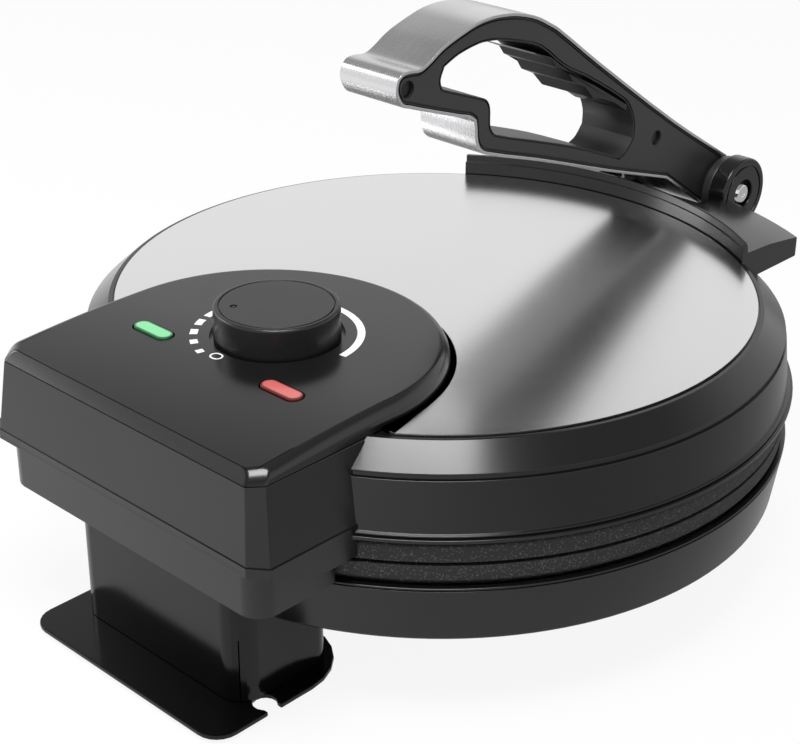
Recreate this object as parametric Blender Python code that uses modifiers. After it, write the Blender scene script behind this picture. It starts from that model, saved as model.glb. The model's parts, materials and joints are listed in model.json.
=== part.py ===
"""Electric roti maker: a round hinged-lid press on a short leg and feet.

Lengths are in metres and +Z is up. The shapes are drawn about the axis of the
hot plates, with the table at z = 0, the control box at +Y and the user at -Y.
Every object then moves back by CENTRE_Y, so that the origin is the middle of
the whole part's footprint.
"""
import math

import bmesh
import bpy
from mathutils import Matrix, Vector

# Clearances
GAP = 0.0003
RUN_GAP = 0.0001
OVERRUN = 0.004
MERGE = 0.00001

# Heights of the stack, from the table up
PAD_HEIGHT = 0.0012
FOOT_PLATE_THICKNESS = 0.0018
GROUND_CLEARANCE = 0.0309
BASE_HEIGHT = 0.0218
LOWER_PLATE_RISE = 0.0077
PLATES_GAP = 0.0012
UPPER_PLATE_SHOW = 0.0082
LID_WALL_HEIGHT = 0.0226
LID_CHAMFER_HEIGHT = 0.0079
STEEL_PROUD = 0.0007

Z_FOOT_PLATE = PAD_HEIGHT + GAP
Z_FOOT_TOP = Z_FOOT_PLATE + FOOT_PLATE_THICKNESS
Z_BASE = GROUND_CLEARANCE
Z_RIM = Z_BASE + BASE_HEIGHT
Z_LOWER_PLATE = Z_RIM + LOWER_PLATE_RISE
Z_UPPER_PLATE = Z_LOWER_PLATE + PLATES_GAP
Z_LID = Z_UPPER_PLATE + UPPER_PLATE_SHOW
Z_SHOULDER = Z_LID + LID_WALL_HEIGHT
Z_RING = Z_SHOULDER + LID_CHAMFER_HEIGHT
Z_STEEL = Z_RING + STEEL_PROUD

# Round pieces, out from or in from the hot plates' edge
PLATE_RADIUS = 0.1318
PLATE_THICKNESS = 0.0040
PLATE_SKIRT = 0.0052
PLATE_SKIRT_INSET = 0.0033
PLATE_RECESS_INSET = 0.0128
PLATE_EDGE = 0.0005
BASE_MARGIN = 0.0016
BASE_TAPER = 0.0028
BASE_WALL = 0.0025
BASE_LIP = 0.0020
BASE_EDGE = 0.0020
LEDGE_INSET = 0.0093
LEDGE_THICKNESS = 0.0025
LID_BEAD_MARGIN = 0.0024
LID_BEAD = 0.0021
LID_BEAD_HEIGHT = 0.0021
LID_WALL_TAPER = 0.0021
LID_CHAMFER = 0.0088
LID_WALL = 0.0032
STEEL_MARGIN = 0.0023
STEEL_THICKNESS = 0.0010
STEEL_LEDGE = 0.0054
STEEL_LEDGE_THICKNESS = 0.0022
HEATER_INSET = 0.0498
HEATER_TUBE = 0.0034
SHIELD_THICKNESS = 0.0008
SHIELD_DEPTH = 0.0050
SHIELD_RIM = 0.0100
SHIELD_SLOPE = 0.0050

PLATE_SKIRT_RADIUS = PLATE_RADIUS - PLATE_SKIRT_INSET
PLATE_RECESS_RADIUS = PLATE_RADIUS - PLATE_RECESS_INSET
LEDGE_RADIUS = PLATE_RADIUS - LEDGE_INSET
HEATER_RADIUS = PLATE_RADIUS - HEATER_INSET
BASE_RIM_RADIUS = PLATE_RADIUS + BASE_MARGIN
BASE_FOOT_RADIUS = BASE_RIM_RADIUS - BASE_TAPER
LID_BEAD_RADIUS = PLATE_RADIUS + LID_BEAD_MARGIN
LID_WALL_RADIUS = LID_BEAD_RADIUS - LID_BEAD
LID_SHOULDER_RADIUS = LID_WALL_RADIUS - LID_WALL_TAPER
LID_RING_RADIUS = LID_SHOULDER_RADIUS - LID_CHAMFER
STEEL_RADIUS = LID_RING_RADIUS - STEEL_MARGIN

# Rear housing of the base
REAR_REACH = 0.0166
REAR_HALF_WIDTH = 0.0652
REAR_BOTTOM_RISE = 0.0215
REAR_CORNER = 0.0080
REAR_INNER_CORNER = 0.0030
REAR_WALL = 0.0025
REAR_SEAM = 0.0010

REAR_BACK = BASE_RIM_RADIUS + REAR_REACH

# Control box on the lid
BOX_OVERHANG_X = 0.0036
BOX_OVERHANG_Y = 0.0034
BOX_LENGTH = 0.0554
BOX_INSIDE_LENGTH = 0.0614
BOX_FACET_X = 0.0064
BOX_FACET_Y = 0.0049
BOX_DRAFT_X = 0.0048
BOX_DRAFT_Y = 0.0033
BOX_WALL = 0.0026
BOX_SILL = 0.0006
SIDE_DROP = 0.0074
SIDE_DROP_LENGTH = 0.0225

BOX_REAR = REAR_BACK + BOX_OVERHANG_Y
BOX_HALF_WIDTH = REAR_HALF_WIDTH + BOX_OVERHANG_X
BOX_FRONT = BOX_REAR - BOX_LENGTH
BOX_INSIDE_FRONT = BOX_REAR - BOX_INSIDE_LENGTH

# Control panel
PANEL_TOP = 0.0060
PANEL_SLOPE = 0.0400
PANEL_LENGTH = 0.0654
PANEL_WAIST = 0.0006
PANEL_FACET_X = 0.0043
PANEL_WALL = 0.0025
PANEL_ROUND = 0.0030
CUTOUT_GAP = 0.0023
CUTOUT_SHIFT = 0.0005
CUTOUT_CORNER = 0.0022
TRAY_THICKNESS = 0.0025
TRAY_UNDERLAP = 0.0015

PANEL_NOSE_Y = BOX_REAR - PANEL_LENGTH
PANEL_NOSE_RADIUS = BOX_HALF_WIDTH - BOX_DRAFT_X - PANEL_WAIST
CUTOUT_Y = PANEL_NOSE_Y + CUTOUT_SHIFT
CUTOUT_RADIUS = PANEL_NOSE_RADIUS + CUTOUT_GAP

# Knob and lamps
KNOB_SETBACK = 0.0081
KNOB_RADIUS = 0.0219
KNOB_HEIGHT = 0.0129
KNOB_TAPER = 0.0002
KNOB_EDGE = 0.0008
KNOB_GROOVE_RADIUS = 0.0199
KNOB_GROOVE = 0.0005
KNOB_DIMPLE_RADIUS = 0.0018
KNOB_DIMPLE_OFFSET = 0.0147
KNOB_DIMPLE_DEPTH = 0.0006
KNOB_DIMPLE_ANGLE = math.radians(37.6)
RECESS_MARGIN = 0.0015
RECESS_DEPTH = 0.0016
SHAFT_RADIUS = 0.0030
SHAFT_GRIP = 0.0080
THERMOSTAT_SIZE = (0.0340, 0.0280, 0.0110)
LAMP_X = 0.0325
LAMP_SETBACK = 0.0281
LENS_LENGTH = 0.0176
LENS_WIDTH = 0.0066
LENS_PROUD = 0.0008
LENS_HEIGHT = 0.0058
LAMP_MARGIN = 0.0008
FUSE_RADIUS = 0.0035
FUSE_LENGTH = 0.0140

KNOB_Y = PANEL_NOSE_Y - KNOB_SETBACK
LAMP_Y = KNOB_Y + LAMP_SETBACK

# Front wall and shelf of the lid
FRONT_HALF_WIDTH = 0.0714
GUARD_INSET = 0.0015
GUARD_THICKNESS = 0.0023
GUARD_HEIGHT = 0.0092
SHELF_DEPTH = 0.0332
SHELF_BACK_HEIGHT = 0.0042
SHELF_FRONT_HEIGHT = 0.0007
SHELF_THICKNESS = 0.0081
SHELF_EDGE = 0.0008
SHELF_CREST_SHARES = (0.4, 0.25)
SHELF_SLOPE_SHARES = (0.8, 0.67)
SLOT_HALF_WIDTH = 0.0275
SLOT_DEPTH = 0.0214
SLOT_FLOOR = 0.0014

GUARD_INNER_RADIUS = LID_RING_RADIUS - GUARD_INSET
SHELF_RADIUS = GUARD_INNER_RADIUS + SHELF_DEPTH
SLOT_BACK = SHELF_RADIUS - SLOT_DEPTH

# Lever and its bracket
PIVOT_REACH = 0.0115
PIVOT_DROP = 0.0020
EAR_RADIUS = 0.0154
EAR_INNER_X = 0.0183
EAR_OUTER_X = 0.0260
EAR_WEB = 0.0042
BRACKET_PLATE = 0.0016
BRACKET_LENGTH = 0.0142
PIVOT_PIN_RADIUS = 0.0030
PIVOT_HEAD_RADIUS = 0.0048
PIVOT_HEAD_HEIGHT = 0.0018
PIVOT_RECESS_RADIUS = 0.0063
PIVOT_RECESS_DEPTH = 0.0024
LEVER_REACH = 0.2121
LEVER_WIDTH = 0.0270
STRAP_THICKNESS = 0.0012
CORE_INSET = 0.0006
HUB_RADIUS = 0.0139
HUB_NECK_RADIUS = 0.0120
HUB_CLEARANCE = 0.0004
HUB_HALF_WIDTH = 0.0179
LEVER_SCREW_RADIUS = 0.0020
LEVER_SCREW_HEAD_RADIUS = 0.0029
LEVER_SCREW_HEAD = 0.0014
LEVER_SCREW_RECESS = 0.0028

PIVOT_Y = -SHELF_RADIUS - PIVOT_REACH

# Hinge of the lid
HINGE_BACK = 0.0055
HINGE_DEPTH = 0.0049
HINGE_INSET = 0.0070
HINGE_PIN_RADIUS = 0.0014
HINGE_EYE_RADIUS = 0.0027
HINGE_ARM_WIDTH = 0.0044
HINGE_ARM_THICKNESS = 0.0038
HINGE_ARM_TILT = math.radians(70)
HINGE_ARM_SPAN = 0.0255
HINGE_ARM_BLOCK = 0.0110
HINGE_ARM_BLOCK_HEIGHT = 0.0114
HINGE_ARM_LIFT = 0.0007
HINGE_LUG = 0.0030
HINGE_LUG_LENGTH = 0.0040
HINGE_END_WALL = 0.0016
OPEN_ANGLE = math.radians(90)
COVER_THICKNESS = 0.0016
COVER_DROP = 0.0002

HINGE_X = REAR_HALF_WIDTH - HINGE_INSET

# Leg and feet
LEG_HALF_WIDTH = 0.0430
LEG_SETBACK = 0.0100
LEG_DEPTH = 0.0420
LEG_BACK_CORNER = 0.0090
LEG_FRONT_CORNER = 0.0060
LEG_WALL = 0.0025
FOOT_SIDE_REACH = 0.0078
FOOT_BACK_REACH = 0.0175
FOOT_FRONT_REACH = 0.0078
FOOT_BACK_CORNER = 0.0090
FOOT_FRONT_CORNER = 0.0240
NOTCH_PLACE = 0.0260
NOTCH_RADIUS = 0.0042
NOTCH_DEPTH = 0.0050
NOTCH_MOUTH = 0.0058
REAR_PAD_RADIUS = 0.0080
REAR_PAD_INSET = 0.0116
FRONT_FOOT_RADIUS = 0.0110
FRONT_FOOT_SHARES = (0.42, -0.57)
FRONT_PAD_HEIGHT = 0.0025
FRONT_PAD_INSET = 0.0010
BUSH_FLANGE_RADIUS = 0.0070
BUSH_NECK_RADIUS = 0.0050
BUSH_BORE_RADIUS = 0.0032
BUSH_FLANGE = 0.0035
BUSH_TAIL = 0.0040
BUSH_HEIGHT = 0.0160
SCREW_RADIUS = 0.0018
SCREW_HEAD_RADIUS = 0.0036
SCREW_HEAD = 0.0022
BASE_SCREW_SHARES = ((-0.65, 0.31), (0.65, 0.31), (0.0, -0.76))
BASE_SCREW_NAMES = ("base_screw_left", "base_screw_right", "base_screw_front")
TERMINAL_SIZE = (0.0300, 0.0080, 0.0070)
BRACKET_SCREW_X = 0.0100
BRACKET_SCREW_BACK = 0.0070

LEG_BACK = REAR_BACK - LEG_SETBACK
LEG_FRONT = LEG_BACK - LEG_DEPTH
FOOT_HALF_WIDTH = LEG_HALF_WIDTH + FOOT_SIDE_REACH
FOOT_BACK = LEG_BACK + FOOT_BACK_REACH
FOOT_FRONT = LEG_FRONT - FOOT_FRONT_REACH
NOTCH_Y = FOOT_BACK - NOTCH_PLACE
REAR_PAD_X = FOOT_HALF_WIDTH - REAR_PAD_INSET
REAR_PAD_Y = FOOT_BACK - REAR_PAD_INSET
FRONT_FOOT_X, FRONT_FOOT_Y = (share * BASE_FOOT_RADIUS for share in FRONT_FOOT_SHARES)
BASE_SCREW_PLACES = [(x * BASE_FOOT_RADIUS, y * BASE_FOOT_RADIUS) for x, y in BASE_SCREW_SHARES]

# Facets of round work
RING_STEPS = 64
PART_STEPS = 32
SMALL_STEPS = 14
CORNER_STEPS = 6
TUBE_STEPS = 8

# The footprint's middle, along Y, goes to the origin
CENTRE_Y = -(FOOT_BACK + PIVOT_Y - EAR_RADIUS) / 2

# Places worked out from the sizes above
PIVOT_Z = Z_STEEL - PIVOT_DROP
Z_PANEL = Z_RING
Z_PANEL_TOP = Z_STEEL + PANEL_TOP
Z_SILL = Z_LID + BOX_SILL
HINGE_Y = REAR_BACK - HINGE_BACK
Z_REAR_TOP = Z_SILL - REAR_SEAM
HINGE_Z = Z_REAR_TOP - HINGE_DEPTH
Z_REAR_BOTTOM = Z_BASE + REAR_BOTTOM_RISE
Z_SHELF_BOTTOM = Z_STEEL - SHELF_THICKNESS
Z_TRAY_TOP = Z_STEEL - STEEL_THICKNESS - GAP

# The lever's outline in its side view, from the pivot, as (along, up) shares of
# LEVER_REACH. The first run goes over the top to the nose, the second back under.
LEVER_TOP_SHARES = (
    (-0.019, 0.063), (0.172, 0.181), (0.291, 0.262), (0.418, 0.348), (0.508, 0.412),
    (0.537, 0.433), (0.565, 0.449), (0.592, 0.463), (0.619, 0.473), (0.658, 0.483),
    (0.696, 0.4875), (0.721, 0.488), (0.746, 0.486), (0.770, 0.481), (0.794, 0.474),
    (0.818, 0.467), (0.842, 0.457), (0.865, 0.444), (0.886, 0.436), (0.909, 0.438),
    (0.927, 0.437), (0.939, 0.429), (0.9435, 0.4135), (0.941, 0.400), (0.929, 0.382),
    (0.911, 0.375))
LEVER_UNDER_SHARES = (
    (0.887, 0.366), (0.790, 0.332), (0.765, 0.324), (0.753, 0.315), (0.7505, 0.301),
    (0.749, 0.283), (0.741, 0.263), (0.722, 0.250), (0.686, 0.238), (0.576, 0.201),
    (0.369, 0.127), (0.189, 0.067), (0.180, 0.062), (0.070, -0.015))
LEVER_HOLE_SHARES = (
    (0.833, 0.392), (0.836, 0.406), (0.827, 0.426), (0.793, 0.439), (0.745, 0.447),
    (0.720, 0.4465), (0.694, 0.443), (0.650, 0.432), (0.585, 0.410), (0.515, 0.360),
    (0.450, 0.327), (0.392, 0.293), (0.340, 0.262), (0.318, 0.242), (0.301, 0.206),
    (0.301, 0.177), (0.320, 0.156), (0.3385, 0.1475), (0.466, 0.200), (0.5785, 0.2395),
    (0.695, 0.279), (0.706, 0.290), (0.710, 0.300), (0.7115, 0.3305), (0.721, 0.3465),
    (0.742, 0.3555), (0.828, 0.388))
GRIP_BACK_SHARES = (
    (0.636, 0.4265), (0.5875, 0.408), (0.517, 0.3575), (0.452, 0.3245), (0.394, 0.2905),
    (0.344, 0.2605))
GRIP_RIB_SHARES = (
    (0.340, 0.250), (0.382, 0.271), (0.412, 0.278), (0.428, 0.287), (0.449, 0.305),
    (0.460, 0.298), (0.499, 0.325), (0.505, 0.334), (0.546, 0.366), (0.560, 0.360),
    (0.592, 0.385), (0.600, 0.397))
NOSE_SCREW_SHARE = (0.9135, 0.407)
BODY_SCREW_SHARE = (0.225, 0.158)


def clear_scene():
    """Removes every object that the file holds."""
    for obj in list(bpy.data.objects):
        bpy.data.objects.remove(obj, do_unlink=True)


def collection(name):
    """Makes a collection in the scene."""
    made = bpy.data.collections.new(name)
    bpy.context.scene.collection.children.link(made)
    return made


def material(name, colour, roughness, metallic=0.0):
    """Makes a plain material from a colour, a roughness and a metallic value."""
    made = bpy.data.materials.new(name)
    made.use_nodes = True
    shader = made.node_tree.nodes["Principled BSDF"]
    shader.inputs["Base Color"].default_value = (*colour, 1.0)
    shader.inputs["Roughness"].default_value = roughness
    shader.inputs["Metallic"].default_value = metallic
    return made


def empty(name, place, parent=None):
    """Adds an empty at a place drawn about the plates' axis."""
    made = bpy.data.objects.new(name, None)
    PARTS.objects.link(made)
    made.parent = parent
    world = Vector(place) + Vector((0.0, CENTRE_Y, 0.0))
    made.location = world - (parent.matrix_world.translation if parent else Vector())
    bpy.context.view_layer.update()
    return made


def add(name, bm, finish=None, parent=None, smooth=True):
    """Makes an object of a bmesh. Without a finish it is a hidden cutter or helper."""
    bmesh.ops.recalc_face_normals(bm, faces=bm.faces)
    mesh = bpy.data.meshes.new(name)
    bm.to_mesh(mesh)
    bm.free()
    obj = bpy.data.objects.new(name, mesh)
    (PARTS if finish else CUTTERS).objects.link(obj)
    obj.parent = parent
    obj.location = Vector((0.0, CENTRE_Y, 0.0)) - (parent.matrix_world.translation if parent else Vector())
    if finish:
        mesh.materials.append(finish)
        if smooth:
            mesh.shade_smooth()
            mesh.set_sharp_from_angle(angle=math.radians(35))
    else:
        obj.hide_render = True
        obj.display_type = "WIRE"
    return obj


def boolean(obj, other, operation="DIFFERENCE"):
    """Cuts an object with another, or joins the two."""
    step = obj.modifiers.new(operation.lower(), "BOOLEAN")
    step.operation = operation
    step.solver = "EXACT"
    step.object = other


def soften(obj, width, segments=2, angle=math.radians(50)):
    """Rounds the sharp edges of an object."""
    step = obj.modifiers.new("soften", "BEVEL")
    step.width = width
    step.segments = segments
    step.limit_method = "ANGLE"
    step.angle_limit = angle


def turned(profile, steps=PART_STEPS, closed=False):
    """Turns a profile of (radius, height) points about Z."""
    bm = bmesh.new()
    verts = [bm.verts.new((radius, 0.0, height)) for radius, height in profile]
    edges = [bm.edges.new(pair) for pair in zip(verts, verts[1:])]
    if closed:
        edges.append(bm.edges.new((verts[-1], verts[0])))
    bmesh.ops.spin(bm, geom=verts + edges, cent=(0.0, 0.0, 0.0), axis=(0.0, 0.0, 1.0), angle=2 * math.pi, steps=steps)
    bmesh.ops.remove_doubles(bm, verts=bm.verts, dist=MERGE)
    return bm


def moved(bm, x=0.0, y=0.0, z=0.0):
    """Moves a bmesh."""
    bmesh.ops.translate(bm, verts=bm.verts, vec=(x, y, z))
    return bm


def laid_along(bm, axis):
    """Turns a bmesh that stands along Z to lie along X or Y."""
    turn = Matrix.Rotation(math.radians(90), 3, "Y") if axis == "X" else Matrix.Rotation(math.radians(-90), 3, "X")
    bmesh.ops.rotate(bm, verts=bm.verts, matrix=turn)
    return bm


def extruded(outline, low, high, axis="Z", top=None):
    """Extrudes an outline along an axis, from low to high, perhaps to another outline."""
    def point(pair, level):
        return (level, *pair) if axis == "X" else (*pair, level)
    bm = bmesh.new()
    face = bm.faces.new([bm.verts.new(point(pair, low)) for pair in outline])
    out = bmesh.ops.extrude_face_region(bm, geom=[face])
    verts = [item for item in out["geom"] if isinstance(item, bmesh.types.BMVert)]
    for vert in verts:
        if axis == "X":
            vert.co.x = high
        else:
            vert.co.z = high
    if top:
        face = next(item for item in out["geom"] if isinstance(item, bmesh.types.BMFace))
        for vert in verts:
            pairs = [pair for pair in zip(outline, top) if (Vector(pair[0]) - vert.co.xy).length < MERGE]
            vert.co.x, vert.co.y = pairs[0][1]
    return bm


def box(x, y, z):
    """Makes a box from its ranges."""
    bm = bmesh.new()
    size = Vector((x[1] - x[0], y[1] - y[0], z[1] - z[0]))
    bmesh.ops.create_cube(bm, size=1.0)
    bmesh.ops.scale(bm, vec=size, verts=bm.verts)
    return moved(bm, (x[0] + x[1]) / 2, (y[0] + y[1]) / 2, (z[0] + z[1]) / 2)


def arc(centre, radius, start, end, steps):
    """Points of an arc, both ends included."""
    return [(centre[0] + radius * math.cos(start + (end - start) * i / steps),
             centre[1] + radius * math.sin(start + (end - start) * i / steps)) for i in range(steps + 1)]


def rounded(outline, radii, steps=CORNER_STEPS):
    """Rounds the corners of an outline. radii gives each corner's radius, or zero."""
    points = []
    count = len(outline)
    for i, radius in enumerate(radii):
        here = Vector(outline[i])
        before = (Vector(outline[i - 1]) - here).normalized()
        after = (Vector(outline[(i + 1) % count]) - here).normalized()
        if not radius:
            points.append(tuple(here))
            continue
        half = before.angle(after) / 2
        centre = here + (before + after).normalized() * radius / math.sin(half)
        first = here + before * radius / math.tan(half) - centre
        last = here + after * radius / math.tan(half) - centre
        sweep = first.angle_signed(last)
        for k in range(steps + 1):
            turn = Matrix.Rotation(-sweep * k / steps, 2)
            points.append(tuple(centre + turn @ first))
    return points


def rectangle(x, y, radii=(0, 0, 0, 0)):
    """A rectangle with rounded corners, from the low corner, anticlockwise."""
    corners = [(x[0], y[0]), (x[1], y[0]), (x[1], y[1]), (x[0], y[1])]
    return rounded(corners, radii) if any(radii) else corners


def obround(centre, length, width, steps=CORNER_STEPS * 2):
    """A slot-shaped outline, long along X."""
    reach = (length - width) / 2
    return (arc((centre[0] + reach, centre[1]), width / 2, -math.pi / 2, math.pi / 2, steps)
            + arc((centre[0] - reach, centre[1]), width / 2, math.pi / 2, 3 * math.pi / 2, steps))


def inset(points, distance, closed=True):
    """Moves each point of a clockwise run to its right-hand side."""
    count = len(points)
    moved_points = []
    for i, point in enumerate(points):
        before = Vector(points[i - 1]) if i or closed else None
        after = Vector(points[(i + 1) % count]) if i < count - 1 or closed else None
        here = Vector(point)
        sides = []
        if before is not None:
            run = (here - before).normalized()
            sides.append(Vector((run.y, -run.x)))
        if after is not None:
            run = (after - here).normalized()
            sides.append(Vector((run.y, -run.x)))
        side = sum(sides, Vector((0.0, 0.0))).normalized()
        moved_points.append(tuple(here + side * distance / max(side.dot(sides[0]), 0.5)))
    return moved_points


def sloped(bm, low):
    """Lets everything above a level fall towards the rear, as the panel's top does behind the knob."""
    geometry = bm.verts[:] + bm.edges[:] + bm.faces[:]
    bmesh.ops.bisect_plane(bm, geom=geometry, dist=MERGE, plane_co=(0.0, KNOB_Y, 0.0), plane_no=(0.0, 1.0, 0.0))
    for vert in bm.verts:
        if vert.co.z > low + MERGE:
            vert.co.z -= max(vert.co.y - KNOB_Y, 0.0) * PANEL_SLOPE
    return bm


def mirrored(outline):
    """Adds the other half, at -X, of an outline that runs from the front to the rear."""
    return outline + [(-x, y) for x, y in reversed(outline)]


def shares(table):
    """Turns shares of the lever's reach to places in its side view."""
    return [(PIVOT_Y + along * LEVER_REACH, PIVOT_Z + up * LEVER_REACH) for along, up in table]


def base_section(grow=0.0):
    """Outer side of the base housing, from its foot to its rim, perhaps grown."""
    return [(BASE_FOOT_RADIUS - BASE_EDGE + grow, Z_BASE - grow), (BASE_FOOT_RADIUS + grow, Z_BASE + BASE_EDGE),
            (BASE_RIM_RADIUS + grow, Z_RIM - BASE_LIP)]


def make_base(black, steel, plate, ceramic):
    """The base housing with its hot plate, heater and shield."""
    z_ledge = Z_LOWER_PLATE - PLATE_THICKNESS - PLATE_SKIRT - GAP
    z_floor = Z_BASE + BASE_WALL
    inner = BASE_RIM_RADIUS - BASE_WALL
    profile = ([(0.0, Z_BASE)] + base_section() + [
        (BASE_RIM_RADIUS, Z_RIM), (inner, Z_RIM), (inner, z_ledge), (LEDGE_RADIUS, z_ledge),
        (LEDGE_RADIUS, z_ledge - LEDGE_THICKNESS), (inner - BASE_EDGE, z_ledge - LEDGE_THICKNESS),
        (BASE_FOOT_RADIUS - BASE_WALL, z_floor), (0.0, z_floor)])
    base = add("base_housing", turned(profile, RING_STEPS), black, ROOT)
    z_shield = z_ledge - LEDGE_THICKNESS - GAP
    shield = shield_profile(z_shield, -1.0)
    z_shield_low = z_shield - SHIELD_THICKNESS - SHIELD_DEPTH
    add("lower_heat_shield", turned(shield, PART_STEPS), steel, ROOT)
    hot = plate_profile(Z_LOWER_PLATE, -1.0)
    add("lower_hot_plate", turned(hot, RING_STEPS), plate, ROOT)
    z_heater = Z_LOWER_PLATE - PLATE_THICKNESS - GAP - HEATER_TUBE
    add("lower_heating_element", moved(heater_ring(), z=z_heater), ceramic, ROOT)
    for name, (x, y) in zip(BASE_SCREW_NAMES, BASE_SCREW_PLACES):
        hole = turned([(0.0, Z_BASE - OVERRUN), (SCREW_RADIUS + GAP, Z_BASE - OVERRUN),
                       (SCREW_RADIUS + GAP, z_floor + OVERRUN), (0.0, z_floor + OVERRUN)], SMALL_STEPS)
        boolean(base, add(f"{name}_hole", moved(hole, x, y)))
        z_head = Z_BASE - GAP
        screw = turned([(0.0, z_head - SCREW_HEAD), (SCREW_HEAD_RADIUS, z_head - SCREW_HEAD),
                        (SCREW_HEAD_RADIUS, z_head), (SCREW_RADIUS, z_head),
                        (SCREW_RADIUS, z_shield_low - GAP), (0.0, z_shield_low - GAP)], SMALL_STEPS)
        add(name, moved(screw, x, y), steel, ROOT)


def shield_profile(z_rim, side):
    """A thin dished disc, its rim at one height and its dish below or above it."""
    out = LEDGE_RADIUS + SHIELD_RIM / 2
    inner = LEDGE_RADIUS - SHIELD_RIM / 2
    thick = side * SHIELD_THICKNESS
    deep = side * (SHIELD_DEPTH + SHIELD_THICKNESS)
    return [(0.0, z_rim + deep), (inner - SHIELD_SLOPE, z_rim + deep), (inner, z_rim + thick), (out, z_rim + thick),
            (out, z_rim), (inner, z_rim), (inner - SHIELD_SLOPE, z_rim + deep - thick), (0.0, z_rim + deep - thick)]


def plate_profile(z_face, side):
    """A hot plate with its face at one height and its skirt away from it."""
    back = z_face + side * PLATE_THICKNESS
    skirt = back + side * PLATE_SKIRT
    slope = PLATE_SKIRT - BASE_LIP
    return [(0.0, z_face), (PLATE_RADIUS - PLATE_EDGE, z_face), (PLATE_RADIUS, z_face + side * PLATE_EDGE),
            (PLATE_RADIUS, back), (PLATE_SKIRT_RADIUS, back + side * slope), (PLATE_SKIRT_RADIUS, skirt),
            (PLATE_RECESS_RADIUS, skirt), (PLATE_RECESS_RADIUS - PLATE_SKIRT, back), (0.0, back)]


def heater_ring():
    """The bent tube of a heating element, closed in a ring."""
    section = arc((HEATER_RADIUS, 0.0), HEATER_TUBE, 0.0, 2 * math.pi, TUBE_STEPS)[:-1]
    return turned(section, PART_STEPS, closed=True)


def lid_section():
    """The closed profile of the lid's ring."""
    z_ledge = Z_UPPER_PLATE + PLATE_THICKNESS + PLATE_SKIRT + GAP
    z_seat = Z_STEEL - STEEL_THICKNESS - GAP
    seat = STEEL_RADIUS - STEEL_LEDGE
    inner = LID_WALL_RADIUS - LID_WALL
    return [(STEEL_RADIUS + GAP, Z_RING), (LID_RING_RADIUS, Z_RING), (LID_SHOULDER_RADIUS, Z_SHOULDER),
            (LID_WALL_RADIUS, Z_LID + LID_BEAD_HEIGHT + BASE_EDGE / 2), (LID_BEAD_RADIUS, Z_LID + LID_BEAD_HEIGHT),
            (LID_BEAD_RADIUS, Z_LID), (inner, Z_LID), (inner, z_ledge), (LEDGE_RADIUS, z_ledge),
            (LEDGE_RADIUS, z_ledge + LEDGE_THICKNESS), (inner - PLATE_EDGE, z_ledge + LEDGE_THICKNESS),
            (LID_SHOULDER_RADIUS - LID_WALL, Z_SHOULDER - LID_WALL / 2), (STEEL_RADIUS, z_seat - STEEL_LEDGE_THICKNESS),
            (seat, z_seat - STEEL_LEDGE_THICKNESS), (seat, z_seat), (STEEL_RADIUS + GAP, z_seat)]


def box_outlines(shrink=0.0):
    """The control box's outline at its sill and at its top, perhaps shrunk by a wall."""
    half = BOX_HALF_WIDTH - shrink
    rear = BOX_REAR - shrink
    front = BOX_INSIDE_FRONT if shrink else BOX_FRONT
    corner = [(half, front), (half, rear - BOX_FACET_Y), (half - BOX_FACET_X, rear)]
    low = mirrored(corner)
    high = []
    for x, y in low:
        lean = BOX_DRAFT_X if abs(x) > half - BOX_FACET_X / 2 else BOX_DRAFT_X - (BOX_FACET_X - PANEL_FACET_X)
        back = BOX_DRAFT_Y if y > BOX_FRONT else 0.0
        high.append((x - math.copysign(lean, x), y - back))
    return low, high


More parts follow.
